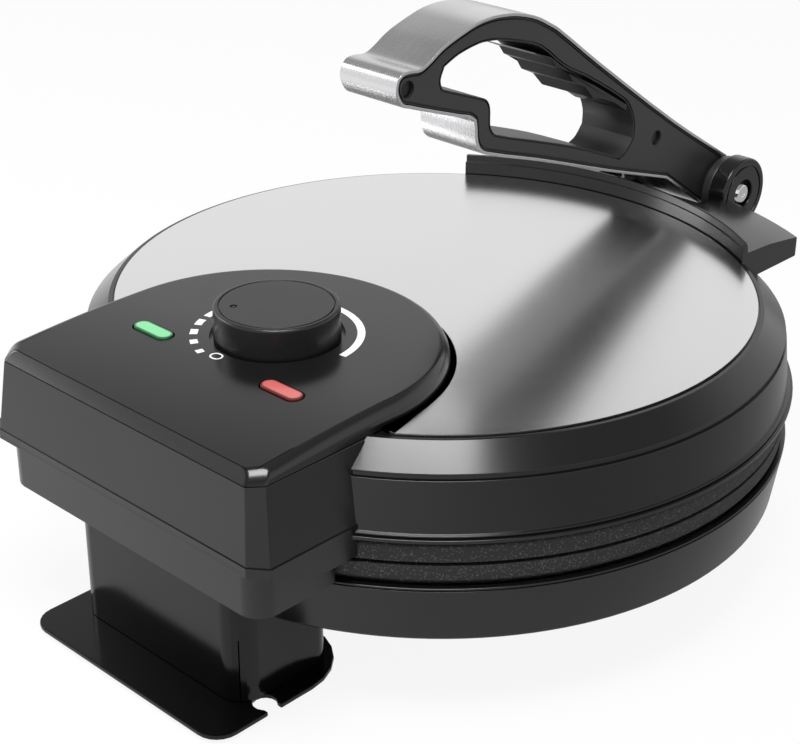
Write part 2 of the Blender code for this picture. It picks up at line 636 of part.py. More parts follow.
def make_lid(black, steel, plate, ceramic):
    """The lid: its ring, control box, front wall and shelf, cover and plate."""
    lid = add("lid_housing", turned(lid_section(), RING_STEPS, closed=True), black, LID)
    z_top = Z_PANEL - GAP
    low, high = box_outlines()
    hood = add("control_box_outside", extruded(low, Z_SILL, z_top, top=high))
    skirt = add("control_box_skirt", extruded(low, Z_SILL - SIDE_DROP, Z_SILL + SIDE_DROP / 2))
    slope = math.atan2(SIDE_DROP, SIDE_DROP_LENGTH)
    under = box((-BOX_REAR, BOX_REAR), (-BOX_REAR, BOX_REAR), (-BOX_REAR, 0.0))
    bmesh.ops.rotate(under, verts=under.verts, matrix=Matrix.Rotation(slope, 3, "X"))
    boolean(skirt, add("skirt_slope", moved(under, y=BOX_REAR - BOX_FACET_Y, z=Z_SILL)))
    plate_space = turned([(0.0, Z_SILL - 2 * SIDE_DROP), (PLATE_RADIUS + BOX_SILL, Z_SILL - 2 * SIDE_DROP),
                          (PLATE_RADIUS + BOX_SILL, Z_LID), (LID_WALL_RADIUS - LID_WALL / 2, Z_LID),
                          (LID_SHOULDER_RADIUS - LID_WALL / 2, Z_SHOULDER),
                          (LID_RING_RADIUS - LID_WALL / 2, Z_RING + OVERRUN), (0.0, Z_RING + OVERRUN)], RING_STEPS)
    space = add("plate_space", plate_space)
    boolean(hood, skirt, "UNION")
    boolean(hood, space)
    boolean(lid, hood, "UNION")
    low, high = box_outlines(BOX_WALL)
    inside = extruded(low, Z_SILL, z_top, top=high)
    boolean(lid, add("control_box_inside", inside))
    boolean(lid, add("skirt_inside", extruded(low, Z_SILL - 2 * SIDE_DROP, Z_SILL + MERGE)))
    boolean(lid, add("panel_opening", extruded(high, z_top - MERGE, z_top + OVERRUN)))
    add_hinge_arms(lid)
    add_front(lid)

    arc_end = math.asin(CUTOUT_RADIUS / STEEL_RADIUS)
    rim = arc((0.0, 0.0), STEEL_RADIUS, math.pi / 2 + arc_end, 5 * math.pi / 2 - arc_end, RING_STEPS)
    nose = arc((0.0, CUTOUT_Y), CUTOUT_RADIUS, 0.0, -math.pi, PART_STEPS)
    outline = rim + nose
    radii = [0.0] * len(outline)
    radii[0] = radii[len(rim) - 1] = CUTOUT_CORNER
    cover = extruded(rounded(outline, radii), Z_STEEL - STEEL_THICKNESS, Z_STEEL)
    add("steel_cover", cover, steel, LID)

    add("upper_hot_plate", turned(plate_profile(Z_UPPER_PLATE, 1.0), RING_STEPS), plate, LID)
    z_heater = Z_UPPER_PLATE + PLATE_THICKNESS + GAP + HEATER_TUBE
    add("upper_heating_element", moved(heater_ring(), z=z_heater), ceramic, LID)
    z_shield = Z_UPPER_PLATE + PLATE_THICKNESS + PLATE_SKIRT + GAP + LEDGE_THICKNESS + GAP
    add("upper_heat_shield", turned(shield_profile(z_shield, 1.0), PART_STEPS), steel, LID)
    z_dish = z_shield + SHIELD_DEPTH + SHIELD_THICKNESS + GAP
    fuse = laid_along(turned([(0.0, -FUSE_LENGTH / 2), (FUSE_RADIUS, -FUSE_LENGTH / 2),
                              (FUSE_RADIUS, FUSE_LENGTH / 2), (0.0, FUSE_LENGTH / 2)], SMALL_STEPS), "X")
    add("thermal_fuse", moved(fuse, -LAMP_X, KNOB_Y - LAMP_X, z_dish + FUSE_RADIUS), ceramic, LID)


def add_hinge_arms(lid):
    """Joins the two curved hinge arms to the inside of the control box."""
    along = Vector((-math.sin(HINGE_ARM_TILT), math.cos(HINGE_ARM_TILT)))
    down = Vector((along.y * -1.0, along.x))
    half = HINGE_ARM_WIDTH / 2
    start = math.atan2(down.y, down.x)
    eye = arc((0.0, 0.0), HINGE_EYE_RADIUS, start, start + math.pi, CORNER_STEPS * 2)
    z_low = HINGE_DEPTH + HINGE_ARM_LIFT
    front = -HINGE_ARM_SPAN
    back = front + HINGE_ARM_BLOCK
    z_high = z_low + HINGE_ARM_BLOCK_HEIGHT
    upper = (back - half * down.x) / along.x
    lower = (z_low - half * down.y) / along.y
    outline = eye + [tuple(along * upper - down * half), (back, z_high), (front, z_high), (front, z_low),
                     tuple(along * lower + down * half)]
    outline = [(HINGE_Y + y, HINGE_Z + z) for y, z in outline]
    for side, name in ((-1.0, "left"), (1.0, "right")):
        centre = side * HINGE_X
        width = HINGE_ARM_THICKNESS / 2
        arm = extruded(outline, centre - width, centre + width, "X")
        boolean(lid, add(f"hinge_arm_{name}", arm), "UNION")
        wall = side * (BOX_HALF_WIDTH - BOX_WALL / 2 - BOX_DRAFT_X / 2)
        reach = sorted((centre, wall))
        root = box(reach, (HINGE_Y + front + MERGE, HINGE_Y + back - MERGE), (HINGE_Z + z_low + GAP, HINGE_Z + z_high - MERGE))
        boolean(lid, add(f"hinge_arm_root_{name}", root), "UNION")
        eye_hole = turned([(0.0, -HINGE_ARM_THICKNESS), (HINGE_PIN_RADIUS + RUN_GAP, -HINGE_ARM_THICKNESS),
                           (HINGE_PIN_RADIUS + RUN_GAP, HINGE_ARM_THICKNESS), (0.0, HINGE_ARM_THICKNESS)], SMALL_STEPS)
        boolean(lid, add(f"hinge_eye_{name}", moved(laid_along(eye_hole, "X"), centre, HINGE_Y, HINGE_Z)))


def add_front(lid):
    """Joins the front wall and the shelf that carries the lever to the lid's ring."""
    top = Z_STEEL + GUARD_HEIGHT - STEEL_PROUD
    outer = GUARD_INNER_RADIUS + GUARD_THICKNESS
    shelf_back = Z_STEEL + SHELF_BACK_HEIGHT - STEEL_PROUD
    shelf_front = Z_STEEL + SHELF_FRONT_HEIGHT - STEEL_PROUD
    reach, fall = SHELF_RADIUS - outer, shelf_back - shelf_front
    profile = [(GUARD_INNER_RADIUS, top), (outer, top), (outer + SHELF_EDGE, shelf_back),
               (outer + reach * SHELF_CREST_SHARES[0], shelf_back - fall * SHELF_CREST_SHARES[1]),
               (outer + reach * SHELF_SLOPE_SHARES[0], shelf_back - fall * SHELF_SLOPE_SHARES[1]),
               (SHELF_RADIUS - SHELF_EDGE, shelf_front), (SHELF_RADIUS, shelf_front - SHELF_EDGE),
               (SHELF_RADIUS, Z_SHELF_BOTTOM + SHELF_EDGE), (SHELF_RADIUS - SHELF_EDGE, Z_SHELF_BOTTOM),
               (LID_SHOULDER_RADIUS - LID_WALL / 2, Z_SHELF_BOTTOM),
               (GUARD_INNER_RADIUS + SHELF_EDGE, Z_RING - STEEL_LEDGE_THICKNESS / 2),
               (GUARD_INNER_RADIUS, Z_RING - SHELF_EDGE)]
    shelf = add("front_wall_and_shelf", turned(profile, RING_STEPS, closed=True))
    keep = box((-FRONT_HALF_WIDTH, FRONT_HALF_WIDTH), (-SHELF_RADIUS - OVERRUN, -FRONT_HALF_WIDTH),
               (Z_SHELF_BOTTOM - OVERRUN, top + OVERRUN))
    boolean(shelf, add("front_width", keep), "INTERSECT")
    slot = box((-SLOT_HALF_WIDTH, SLOT_HALF_WIDTH), (-SHELF_RADIUS - OVERRUN, -SLOT_BACK),
               (Z_SHELF_BOTTOM + SLOT_FLOOR, top + OVERRUN))
    boolean(shelf, add("lever_slot", slot))
    clear = EAR_RADIUS + GAP
    ear_space = turned([(0.0, -SLOT_HALF_WIDTH), (clear, -SLOT_HALF_WIDTH), (clear, SLOT_HALF_WIDTH),
                        (0.0, SLOT_HALF_WIDTH)])
    boolean(shelf, add("ear_space", moved(laid_along(ear_space, "X"), y=PIVOT_Y, z=PIVOT_Z)))
    boolean(lid, shelf, "UNION")
    for side, name in ((-1.0, "left"), (1.0, "right")):
        hole = turned([(0.0, Z_SHELF_BOTTOM - OVERRUN), (SCREW_RADIUS, Z_SHELF_BOTTOM - OVERRUN),
                       (SCREW_RADIUS, Z_SHELF_BOTTOM + OVERRUN), (0.0, Z_SHELF_BOTTOM + OVERRUN)], SMALL_STEPS)
        moved(hole, side * BRACKET_SCREW_X, -SLOT_BACK - BRACKET_SCREW_BACK)
        boolean(lid, add(f"bracket_screw_hole_{name}", hole))


def make_panel(black, dark, ceramic, green, red):
    """The control panel with its tray, lamps and thermostat."""
    half = BOX_HALF_WIDTH - BOX_DRAFT_X
    rear = BOX_REAR - BOX_DRAFT_Y
    nose = arc((0.0, PANEL_NOSE_Y), PANEL_NOSE_RADIUS, -math.pi / 2, 0.0, PART_STEPS // 2)
    right = nose[1:] + [(half, rear - BOX_FACET_Y), (half - PANEL_FACET_X, rear)]
    outline = [nose[0]] + right + [(-x, y) for x, y in reversed(right)]
    body = sloped(extruded(outline, Z_PANEL, Z_PANEL_TOP), Z_PANEL)
    bmesh.ops.recalc_face_normals(body, faces=body.faces)
    rim = [edge for edge in body.edges if sum(face.normal.z > 0.9 for face in edge.link_faces) == 1]
    bmesh.ops.bevel(body, geom=rim, offset=PANEL_ROUND, segments=3, profile=0.5, affect="EDGES")
    panel = add("control_panel", body, black, LID)
    wall = PANEL_WALL + PANEL_ROUND / 2
    inner_nose = arc((0.0, PANEL_NOSE_Y), PANEL_NOSE_RADIUS - wall, -math.pi / 2, 0.0, PART_STEPS // 2)
    right = inner_nose[1:] + [(half - wall, rear - BOX_FACET_Y), (half - PANEL_FACET_X - wall / 2, rear - wall)]
    inner = [inner_nose[0]] + right + [(-x, y) for x, y in reversed(right)]
    inside = sloped(extruded(inner, Z_PANEL - OVERRUN, Z_PANEL_TOP - PANEL_WALL), Z_PANEL - OVERRUN)
    boolean(panel, add("panel_inside", inside))
    recess = turned([(0.0, Z_PANEL_TOP - RECESS_DEPTH), (KNOB_RADIUS + RECESS_MARGIN, Z_PANEL_TOP - RECESS_DEPTH),
                     (KNOB_RADIUS + RECESS_MARGIN, Z_PANEL_TOP + OVERRUN), (0.0, Z_PANEL_TOP + OVERRUN)])
    boolean(panel, add("knob_recess", moved(recess, y=KNOB_Y)))
    hole_radius = SHAFT_RADIUS + GAP
    shaft_hole = turned([(0.0, Z_TRAY_TOP - 2 * TRAY_THICKNESS), (hole_radius, Z_TRAY_TOP - 2 * TRAY_THICKNESS),
                         (hole_radius, Z_PANEL_TOP), (0.0, Z_PANEL_TOP)], SMALL_STEPS)
    shaft_cutter = add("shaft_hole", moved(shaft_hole, y=KNOB_Y))
    boolean(panel, shaft_cutter)

    inside = BOX_HALF_WIDTH - BOX_DRAFT_X - BOX_WALL - GAP * 2
    seat = STEEL_RADIUS - STEEL_LEDGE - GAP
    reach = CUTOUT_RADIUS + TRAY_UNDERLAP
    turn = math.sqrt(seat ** 2 - reach ** 2)
    tray_nose = arc((0.0, CUTOUT_Y), reach, -math.pi / 2, math.asin(min((turn - CUTOUT_Y) / reach, 0.0)), PART_STEPS // 2)
    cleared = math.sqrt(seat ** 2 - inside ** 2)
    right = tray_nose[1:] + [(inside, cleared), (inside, rear - BOX_FACET_Y - BOX_WALL),
                             (inside - PANEL_FACET_X, rear - BOX_WALL - GAP * 2)]
    tray = add("panel_tray", extruded([tray_nose[0]] + right + [(-x, y) for x, y in reversed(right)],
                                      Z_TRAY_TOP - TRAY_THICKNESS, Z_TRAY_TOP), dark, LID)
    boolean(tray, shaft_cutter)
    for name, x, lens_finish in (("ready", LAMP_X, green), ("power", -LAMP_X, red)):
        spread = 2 * GAP
        slot = obround((x, LAMP_Y), LENS_LENGTH + spread, LENS_WIDTH + spread)
        boolean(panel, add(f"{name}_lamp_opening", extruded(slot, Z_PANEL, Z_PANEL_TOP + OVERRUN)))
        z_lens = Z_PANEL_TOP + LENS_PROUD - LENS_HEIGHT
        lens = obround((x, LAMP_Y), LENS_LENGTH, LENS_WIDTH)
        add(f"{name}_lens", extruded(lens, z_lens, Z_PANEL_TOP + LENS_PROUD), lens_finish, LID)
        holder = obround((x, LAMP_Y), LENS_LENGTH + 2 * LAMP_MARGIN, LENS_WIDTH + 2 * LAMP_MARGIN)
        add(f"{name}_lamp", extruded(holder, Z_TRAY_TOP + GAP, z_lens - GAP), ceramic, LID)
    length, width, height = THERMOSTAT_SIZE
    z_under = Z_TRAY_TOP - TRAY_THICKNESS - GAP
    body = box((-length / 2, length / 2), (KNOB_Y - width / 2, KNOB_Y + width / 2), (z_under - height, z_under))
    add("thermostat", body, ceramic, LID, smooth=False)
    z_knob = Z_PANEL_TOP - RECESS_DEPTH + GAP
    make_knob(black, dark, z_knob, z_under)


def make_knob(black, dark, z_low, z_thermostat):
    """The thermostat's knob and shaft."""
    high = z_low + KNOB_HEIGHT
    bore = SHAFT_RADIUS + RUN_GAP
    groove = KNOB_GROOVE
    profile = [(0.0, high), (KNOB_GROOVE_RADIUS - groove, high), (KNOB_GROOVE_RADIUS - groove / 2, high - groove),
               (KNOB_GROOVE_RADIUS, high - groove), (KNOB_GROOVE_RADIUS + groove / 2, high),
               (KNOB_RADIUS - KNOB_EDGE, high), (KNOB_RADIUS, high - KNOB_EDGE), (KNOB_RADIUS + KNOB_TAPER, z_low),
               (bore, z_low), (bore, z_low + SHAFT_GRIP), (0.0, z_low + SHAFT_GRIP)]
    knob = add("knob", moved(turned(profile, PART_STEPS * 2), y=KNOB_Y), black, KNOB)
    dimple = turned([(0.0, -KNOB_DIMPLE_DEPTH), (KNOB_DIMPLE_RADIUS / 2, -KNOB_DIMPLE_DEPTH),
                     (KNOB_DIMPLE_RADIUS, 0.0), (KNOB_DIMPLE_RADIUS, KNOB_DIMPLE_DEPTH), (0.0, KNOB_DIMPLE_DEPTH)],
                    SMALL_STEPS)
    moved(dimple, KNOB_DIMPLE_OFFSET * math.sin(KNOB_DIMPLE_ANGLE),
          KNOB_Y + KNOB_DIMPLE_OFFSET * math.cos(KNOB_DIMPLE_ANGLE), high)
    boolean(knob, add("knob_dimple", dimple))
    shaft = turned([(0.0, z_thermostat + GAP), (SHAFT_RADIUS, z_thermostat + GAP),
                    (SHAFT_RADIUS, z_low + SHAFT_GRIP - GAP), (0.0, z_low + SHAFT_GRIP - GAP)], SMALL_STEPS)
    add("knob_shaft", moved(shaft, y=KNOB_Y), dark, KNOB)


def make_bracket(black, steel):
    """The lever's bracket with two ears, its screws and the pivot pin."""
    z_low = Z_SHELF_BOTTOM + SLOT_FLOOR + GAP
    back = -SLOT_BACK - GAP
    width = SLOT_HALF_WIDTH - GAP
    plate = box((-width, width), (back - BRACKET_LENGTH, back), (z_low, z_low + BRACKET_PLATE))
    bracket = add("lever_bracket", plate, black, LID)
    foot = z_low + BRACKET_PLATE / 2
    drop = math.asin((foot - PIVOT_Z) / EAR_RADIUS)
    ring = arc((PIVOT_Y, PIVOT_Z), EAR_RADIUS, 0.0, 2 * math.pi + drop, PART_STEPS)
    web_back = back - BRACKET_PLATE / 2
    outline = [(web_back, foot), (web_back, foot + EAR_WEB)] + ring
    for side, name in ((-1.0, "left"), (1.0, "right")):
        ends = sorted((side * EAR_INNER_X, side * EAR_OUTER_X))
        boolean(bracket, add(f"ear_{name}", extruded(outline, *ends, axis="X")), "UNION")
        for radius, depth, label in ((PIVOT_PIN_RADIUS + RUN_GAP, EAR_OUTER_X - EAR_INNER_X, "bore"),
                                     (PIVOT_RECESS_RADIUS, PIVOT_RECESS_DEPTH, "recess")):
            inner = EAR_OUTER_X - depth - (OVERRUN if label == "bore" else 0.0)
            hole = turned([(0.0, inner), (radius, inner), (radius, EAR_OUTER_X + OVERRUN),
                           (0.0, EAR_OUTER_X + OVERRUN)], SMALL_STEPS)
            bmesh.ops.scale(hole, vec=(1.0, 1.0, side), verts=hole.verts)
            boolean(bracket, add(f"pivot_{label}_{name}", moved(laid_along(hole, "X"), y=PIVOT_Y, z=PIVOT_Z)))
        screw_y = -SLOT_BACK - BRACKET_SCREW_BACK
        shaft = SCREW_RADIUS - GAP
        z_head = z_low + BRACKET_PLATE + GAP
        hole = turned([(0.0, z_low - OVERRUN), (SCREW_RADIUS, z_low - OVERRUN),
                       (SCREW_RADIUS, z_head), (0.0, z_head)], SMALL_STEPS)
        boolean(bracket, add(f"bracket_hole_{name}", moved(hole, side * BRACKET_SCREW_X, screw_y)))
        screw = turned([(0.0, Z_SHELF_BOTTOM - GAP), (shaft, Z_SHELF_BOTTOM - GAP), (shaft, z_head),
                        (shaft + SCREW_RADIUS / 2, z_head), (shaft + SCREW_RADIUS / 2, z_head + BRACKET_PLATE),
                        (0.0, z_head + BRACKET_PLATE)], SMALL_STEPS)
        add(f"bracket_screw_{name}", moved(screw, side * BRACKET_SCREW_X, screw_y), steel, LID)
    face = EAR_OUTER_X - PIVOT_RECESS_DEPTH + GAP
    end = face + PIVOT_HEAD_HEIGHT
    pin = turned([(0.0, -end), (PIVOT_HEAD_RADIUS, -end), (PIVOT_HEAD_RADIUS, -face), (PIVOT_PIN_RADIUS, -face),
                  (PIVOT_PIN_RADIUS, face), (PIVOT_HEAD_RADIUS, face), (PIVOT_HEAD_RADIUS, end), (0.0, end)], SMALL_STEPS)
    add("pivot_pin", moved(laid_along(pin, "X"), y=PIVOT_Y, z=PIVOT_Z), steel, LID)


def make_lever(black, steel, dark):
    """The lever handle: its core with the hub, its steel strap, grip and screws."""
    run = shares(LEVER_TOP_SHARES) + shares(LEVER_UNDER_SHARES)
    start = math.atan2(run[-1][1] - PIVOT_Z, run[-1][0] - PIVOT_Y)
    end = math.atan2(run[0][1] - PIVOT_Z, run[0][0] - PIVOT_Y) - 2 * math.pi
    hub_arc = arc((PIVOT_Y, PIVOT_Z), HUB_RADIUS, start, end, PART_STEPS)[1:-1]
    strap_half = LEVER_WIDTH / 2
    inner_run = inset(run, STRAP_THICKNESS, closed=False)
    band = extruded(run + inner_run[::-1], -strap_half, strap_half, "X")
    add("lever_strap", band, steel, LEVER)
    core_outline = inset(run + hub_arc, STRAP_THICKNESS + GAP)
    core_half = strap_half - CORE_INSET
    core = add("lever_core", extruded(core_outline, -core_half, core_half, "X"), black, LEVER)
    hole = extruded(shares(LEVER_HOLE_SHARES), -strap_half, strap_half, "X")
    boolean(core, add("finger_opening", hole))
    side = strap_half + HUB_CLEARANCE
    hub = turned([(0.0, -HUB_HALF_WIDTH), (HUB_RADIUS, -HUB_HALF_WIDTH), (HUB_RADIUS, -side),
                  (HUB_NECK_RADIUS, -side), (HUB_NECK_RADIUS, side), (HUB_RADIUS, side),
                  (HUB_RADIUS, HUB_HALF_WIDTH), (0.0, HUB_HALF_WIDTH)])
    boolean(core, add("lever_hub", moved(laid_along(hub, "X"), y=PIVOT_Y, z=PIVOT_Z)), "UNION")
    bore = turned([(0.0, -EAR_OUTER_X), (PIVOT_PIN_RADIUS + RUN_GAP, -EAR_OUTER_X),
                   (PIVOT_PIN_RADIUS + RUN_GAP, EAR_OUTER_X), (0.0, EAR_OUTER_X)], SMALL_STEPS)
    boolean(core, add("lever_bore", moved(laid_along(bore, "X"), y=PIVOT_Y, z=PIVOT_Z)))
    for name, share in (("lever_nose_screw", NOSE_SCREW_SHARE), ("lever_body_screw", BODY_SCREW_SHARE)):
        y, z = shares([share])[0]
        head_side = -core_half + LEVER_SCREW_RECESS
        head = LEVER_SCREW_HEAD_RADIUS + GAP
        far = core_half - BASE_WALL
        shaft = LEVER_SCREW_RADIUS + RUN_GAP
        hole = turned([(0.0, -core_half - OVERRUN), (head, -core_half - OVERRUN), (head, head_side),
                       (shaft, head_side), (shaft, far), (0.0, far)], SMALL_STEPS)
        boolean(core, add(f"{name}_hole", moved(laid_along(hole, "X"), y=y, z=z)))
        low = head_side - RUN_GAP - LEVER_SCREW_HEAD
        screw = turned([(0.0, low), (LEVER_SCREW_HEAD_RADIUS, low), (LEVER_SCREW_HEAD_RADIUS, head_side - RUN_GAP),
                        (LEVER_SCREW_RADIUS, head_side - RUN_GAP), (LEVER_SCREW_RADIUS, far - GAP),
                        (0.0, far - GAP)], SMALL_STEPS)
        add(name, moved(laid_along(screw, "X"), y=y, z=z), steel, LEVER)
    grip = shares(GRIP_BACK_SHARES) + shares(GRIP_RIB_SHARES)
    add("finger_grip", extruded(grip, -core_half, core_half, "X"), dark, LEVER, smooth=False)


def make_rear(black, dark, ceramic, steel):
    """The rear housing of the base with its cover, hinge pins and terminal block."""
    outline = rectangle((-REAR_HALF_WIDTH, REAR_HALF_WIDTH), (FOOT_FRONT, REAR_BACK), (0, 0, REAR_CORNER, REAR_CORNER))
    rear = add("rear_housing", extruded(outline, Z_REAR_BOTTOM, Z_REAR_TOP), black, ROOT)
    base_space = turned([(0.0, Z_BASE)] + base_section(GAP + RUN_GAP)[1:]
                        + [(BASE_RIM_RADIUS + GAP + RUN_GAP, Z_REAR_TOP + OVERRUN), (0.0, Z_REAR_TOP + OVERRUN)], RING_STEPS)
    boolean(rear, add("base_space", base_space))
    inner_radius = BASE_RIM_RADIUS + REAR_WALL
    corner = REAR_INNER_CORNER
    inner = rectangle((-REAR_HALF_WIDTH + REAR_WALL, REAR_HALF_WIDTH - REAR_WALL), (FOOT_FRONT, REAR_BACK - REAR_WALL),
                      (0, 0, corner, corner))
    z_floor = Z_REAR_BOTTOM + REAR_WALL
    cavity = add("rear_cavity", extruded(inner, z_floor, Z_REAR_TOP + OVERRUN))
    ring = turned([(0.0, Z_BASE), (inner_radius, Z_BASE), (inner_radius, Z_REAR_TOP + 2 * OVERRUN),
                   (0.0, Z_REAR_TOP + 2 * OVERRUN)], RING_STEPS)
    boolean(cavity, add("rear_cavity_front", ring))
    boolean(rear, cavity)
    open_tilt = OPEN_ANGLE - HINGE_ARM_TILT
    along = Vector((math.sin(open_tilt), math.cos(open_tilt)))
    across = Vector((along.y, -along.x)) * (HINGE_EYE_RADIUS + GAP)
    far = along * (HINGE_DEPTH * 2)
    notch = [across, far + across, far - across, -across]
    notch = [(HINGE_Y + point.x, HINGE_Z + point.y) for point in notch]
    z_cover = Z_REAR_TOP - COVER_DROP
    slack = GAP
    arm_half = HINGE_ARM_THICKNESS / 2
    cover_half = HINGE_X - arm_half - slack
    cover_inner = rectangle((-cover_half, cover_half), (FOOT_FRONT, REAR_BACK - REAR_WALL - slack))
    cover = add("rear_housing_cover", extruded(cover_inner, z_cover - COVER_THICKNESS, z_cover), dark, ROOT)
    cover_ring = turned([(0.0, Z_BASE), (inner_radius + slack, Z_BASE), (inner_radius + slack, Z_REAR_TOP + 2 * OVERRUN),
                         (0.0, Z_REAR_TOP + 2 * OVERRUN)], RING_STEPS)
    boolean(cover, add("cover_front", cover_ring))
    for side, name in ((-1.0, "left"), (1.0, "right")):
        centre = side * HINGE_X
        lug_out = HINGE_X - arm_half - GAP
        lug_wall = HINGE_X + arm_half + GAP
        z_lug = z_cover - COVER_THICKNESS - GAP
        for place, ends in (("inner", (lug_out - HINGE_LUG, lug_out)),
                            ("outer", (lug_wall, REAR_HALF_WIDTH - REAR_WALL + MERGE))):
            lug = box(sorted((side * ends[0], side * ends[1])),
                      (HINGE_Y - HINGE_LUG_LENGTH, REAR_BACK - REAR_WALL + MERGE), (z_floor - REAR_WALL / 2, z_lug))
            boolean(rear, add(f"hinge_lug_{place}_{name}", lug), "UNION")
        inner_end = lug_out - HINGE_LUG - GAP
        outer_end = REAR_HALF_WIDTH - HINGE_END_WALL
        radius = HINGE_PIN_RADIUS + RUN_GAP
        hole = turned([(0.0, inner_end - GAP), (radius, inner_end - GAP), (radius, outer_end), (0.0, outer_end)], SMALL_STEPS)
        bmesh.ops.scale(hole, vec=(1.0, 1.0, side), verts=hole.verts)
        boolean(rear, add(f"hinge_hole_{name}", moved(laid_along(hole, "X"), y=HINGE_Y, z=HINGE_Z)))
        pin = turned([(0.0, inner_end), (HINGE_PIN_RADIUS, inner_end), (HINGE_PIN_RADIUS, outer_end - GAP),
                      (0.0, outer_end - GAP)], SMALL_STEPS)
        bmesh.ops.scale(pin, vec=(1.0, 1.0, side), verts=pin.verts)
        add(f"hinge_pin_{name}", moved(laid_along(pin, "X"), y=HINGE_Y, z=HINGE_Z), steel, ROOT)
        reach = sorted((centre - arm_half - GAP, centre + arm_half + GAP))
        boolean(rear, add(f"hinge_notch_{name}", extruded(notch, *reach, axis="X")))
    length, width, height = TERMINAL_SIZE
    y_mid = (inner_radius + REAR_BACK - REAR_WALL) / 2
    block = box((-length / 2, length / 2), (y_mid - width / 2, y_mid + width / 2), (z_floor + GAP, z_floor + GAP + height))
    add("terminal_block", block, ceramic, ROOT, smooth=False)


def make_stand(black, rubber):
    """The rear leg, the foot plate with its cord notch, the cord bush and the feet."""
    outline = rectangle((-LEG_HALF_WIDTH, LEG_HALF_WIDTH), (LEG_FRONT, LEG_BACK),
                        (LEG_FRONT_CORNER, LEG_FRONT_CORNER, LEG_BACK_CORNER, LEG_BACK_CORNER))
    z_low = Z_FOOT_TOP + GAP
    leg = add("rear_leg", extruded(outline, z_low, Z_REAR_BOTTOM - GAP), black, ROOT)
    z_under = Z_BASE - GAP
    space = turned([(0.0, z_under)] + base_section(GAP + RUN_GAP)
                   + [(BASE_RIM_RADIUS + GAP + RUN_GAP, Z_REAR_BOTTOM + OVERRUN), (0.0, Z_REAR_BOTTOM + OVERRUN)], RING_STEPS)
    boolean(leg, add("leg_base_space", space))
    inner = rectangle((-LEG_HALF_WIDTH + LEG_WALL, LEG_HALF_WIDTH - LEG_WALL), (LEG_FRONT + LEG_WALL, LEG_BACK - LEG_WALL))
    boolean(leg, add("leg_inside", extruded(inner, z_low - OVERRUN, z_under - LEG_WALL)))
    neck = BUSH_NECK_RADIUS + GAP
    hole = turned([(0.0, LEG_FRONT - OVERRUN), (neck, LEG_FRONT - OVERRUN), (neck, LEG_FRONT + OVERRUN),
                   (0.0, LEG_FRONT + OVERRUN)], SMALL_STEPS)
    boolean(leg, add("bush_hole", moved(laid_along(hole, "Y"), z=BUSH_HEIGHT)))
    front = LEG_FRONT - GAP
    bush = turned([(BUSH_BORE_RADIUS, front - BUSH_FLANGE), (BUSH_FLANGE_RADIUS, front - BUSH_FLANGE),
                   (BUSH_FLANGE_RADIUS, front), (BUSH_NECK_RADIUS, front), (BUSH_NECK_RADIUS, front + BUSH_TAIL),
                   (BUSH_BORE_RADIUS, front + BUSH_TAIL)], SMALL_STEPS, closed=True)
    add("cord_bush", moved(laid_along(bush, "Y"), z=BUSH_HEIGHT), rubber, ROOT)

    outline = rectangle((-FOOT_HALF_WIDTH, FOOT_HALF_WIDTH), (FOOT_FRONT, FOOT_BACK),
                        (FOOT_FRONT_CORNER, FOOT_FRONT_CORNER, FOOT_BACK_CORNER, FOOT_BACK_CORNER))
    plate = add("foot_plate", extruded(outline, Z_FOOT_PLATE, Z_FOOT_TOP), black, ROOT)
    centre_x = -FOOT_HALF_WIDTH + NOTCH_DEPTH
    round_cut = extruded(arc((centre_x, NOTCH_Y), NOTCH_RADIUS, 0.0, 2 * math.pi, SMALL_STEPS)[:-1],
                         Z_FOOT_PLATE - OVERRUN, Z_FOOT_TOP + OVERRUN)
    boolean(plate, add("notch_round", round_cut))
    mouth = box((-FOOT_HALF_WIDTH - OVERRUN, centre_x), (NOTCH_Y - NOTCH_MOUTH / 2, NOTCH_Y + NOTCH_MOUTH / 2),
                (Z_FOOT_PLATE - OVERRUN, Z_FOOT_TOP + OVERRUN))
    boolean(plate, add("notch_mouth", mouth))
    for side, name in ((-1.0, "left"), (1.0, "right")):
        pad = turned([(0.0, 0.0), (REAR_PAD_RADIUS, 0.0), (REAR_PAD_RADIUS, PAD_HEIGHT), (0.0, PAD_HEIGHT)], SMALL_STEPS)
        add(f"rear_foot_pad_{name}", moved(pad, side * REAR_PAD_X, REAR_PAD_Y), rubber, ROOT)
        z_foot = FRONT_PAD_HEIGHT + GAP
        foot = turned([(0.0, z_foot), (FRONT_FOOT_RADIUS, z_foot), (FRONT_FOOT_RADIUS, z_under), (0.0, z_under)], SMALL_STEPS)
        add(f"front_foot_{name}", moved(foot, side * FRONT_FOOT_X, FRONT_FOOT_Y), black, ROOT)
        radius = FRONT_FOOT_RADIUS - FRONT_PAD_INSET
        pad = turned([(0.0, 0.0), (radius, 0.0), (radius, FRONT_PAD_HEIGHT), (0.0, FRONT_PAD_HEIGHT)], SMALL_STEPS)
        add(f"front_foot_pad_{name}", moved(pad, side * FRONT_FOOT_X, FRONT_FOOT_Y), rubber, ROOT)


clear_scene()
PARTS = collection("electric_roti_maker")
CUTTERS = collection("cutters")
ROOT = empty("base_frame", (0.0, 0.0, 0.0))
LID = empty("lid_hinge_axis", (0.0, HINGE_Y, HINGE_Z), ROOT)
LEVER = empty("lever_pivot_axis", (0.0, PIVOT_Y, PIVOT_Z), LID)
KNOB = empty("knob_axis", (0.0, KNOB_Y, Z_PANEL_TOP), LID)


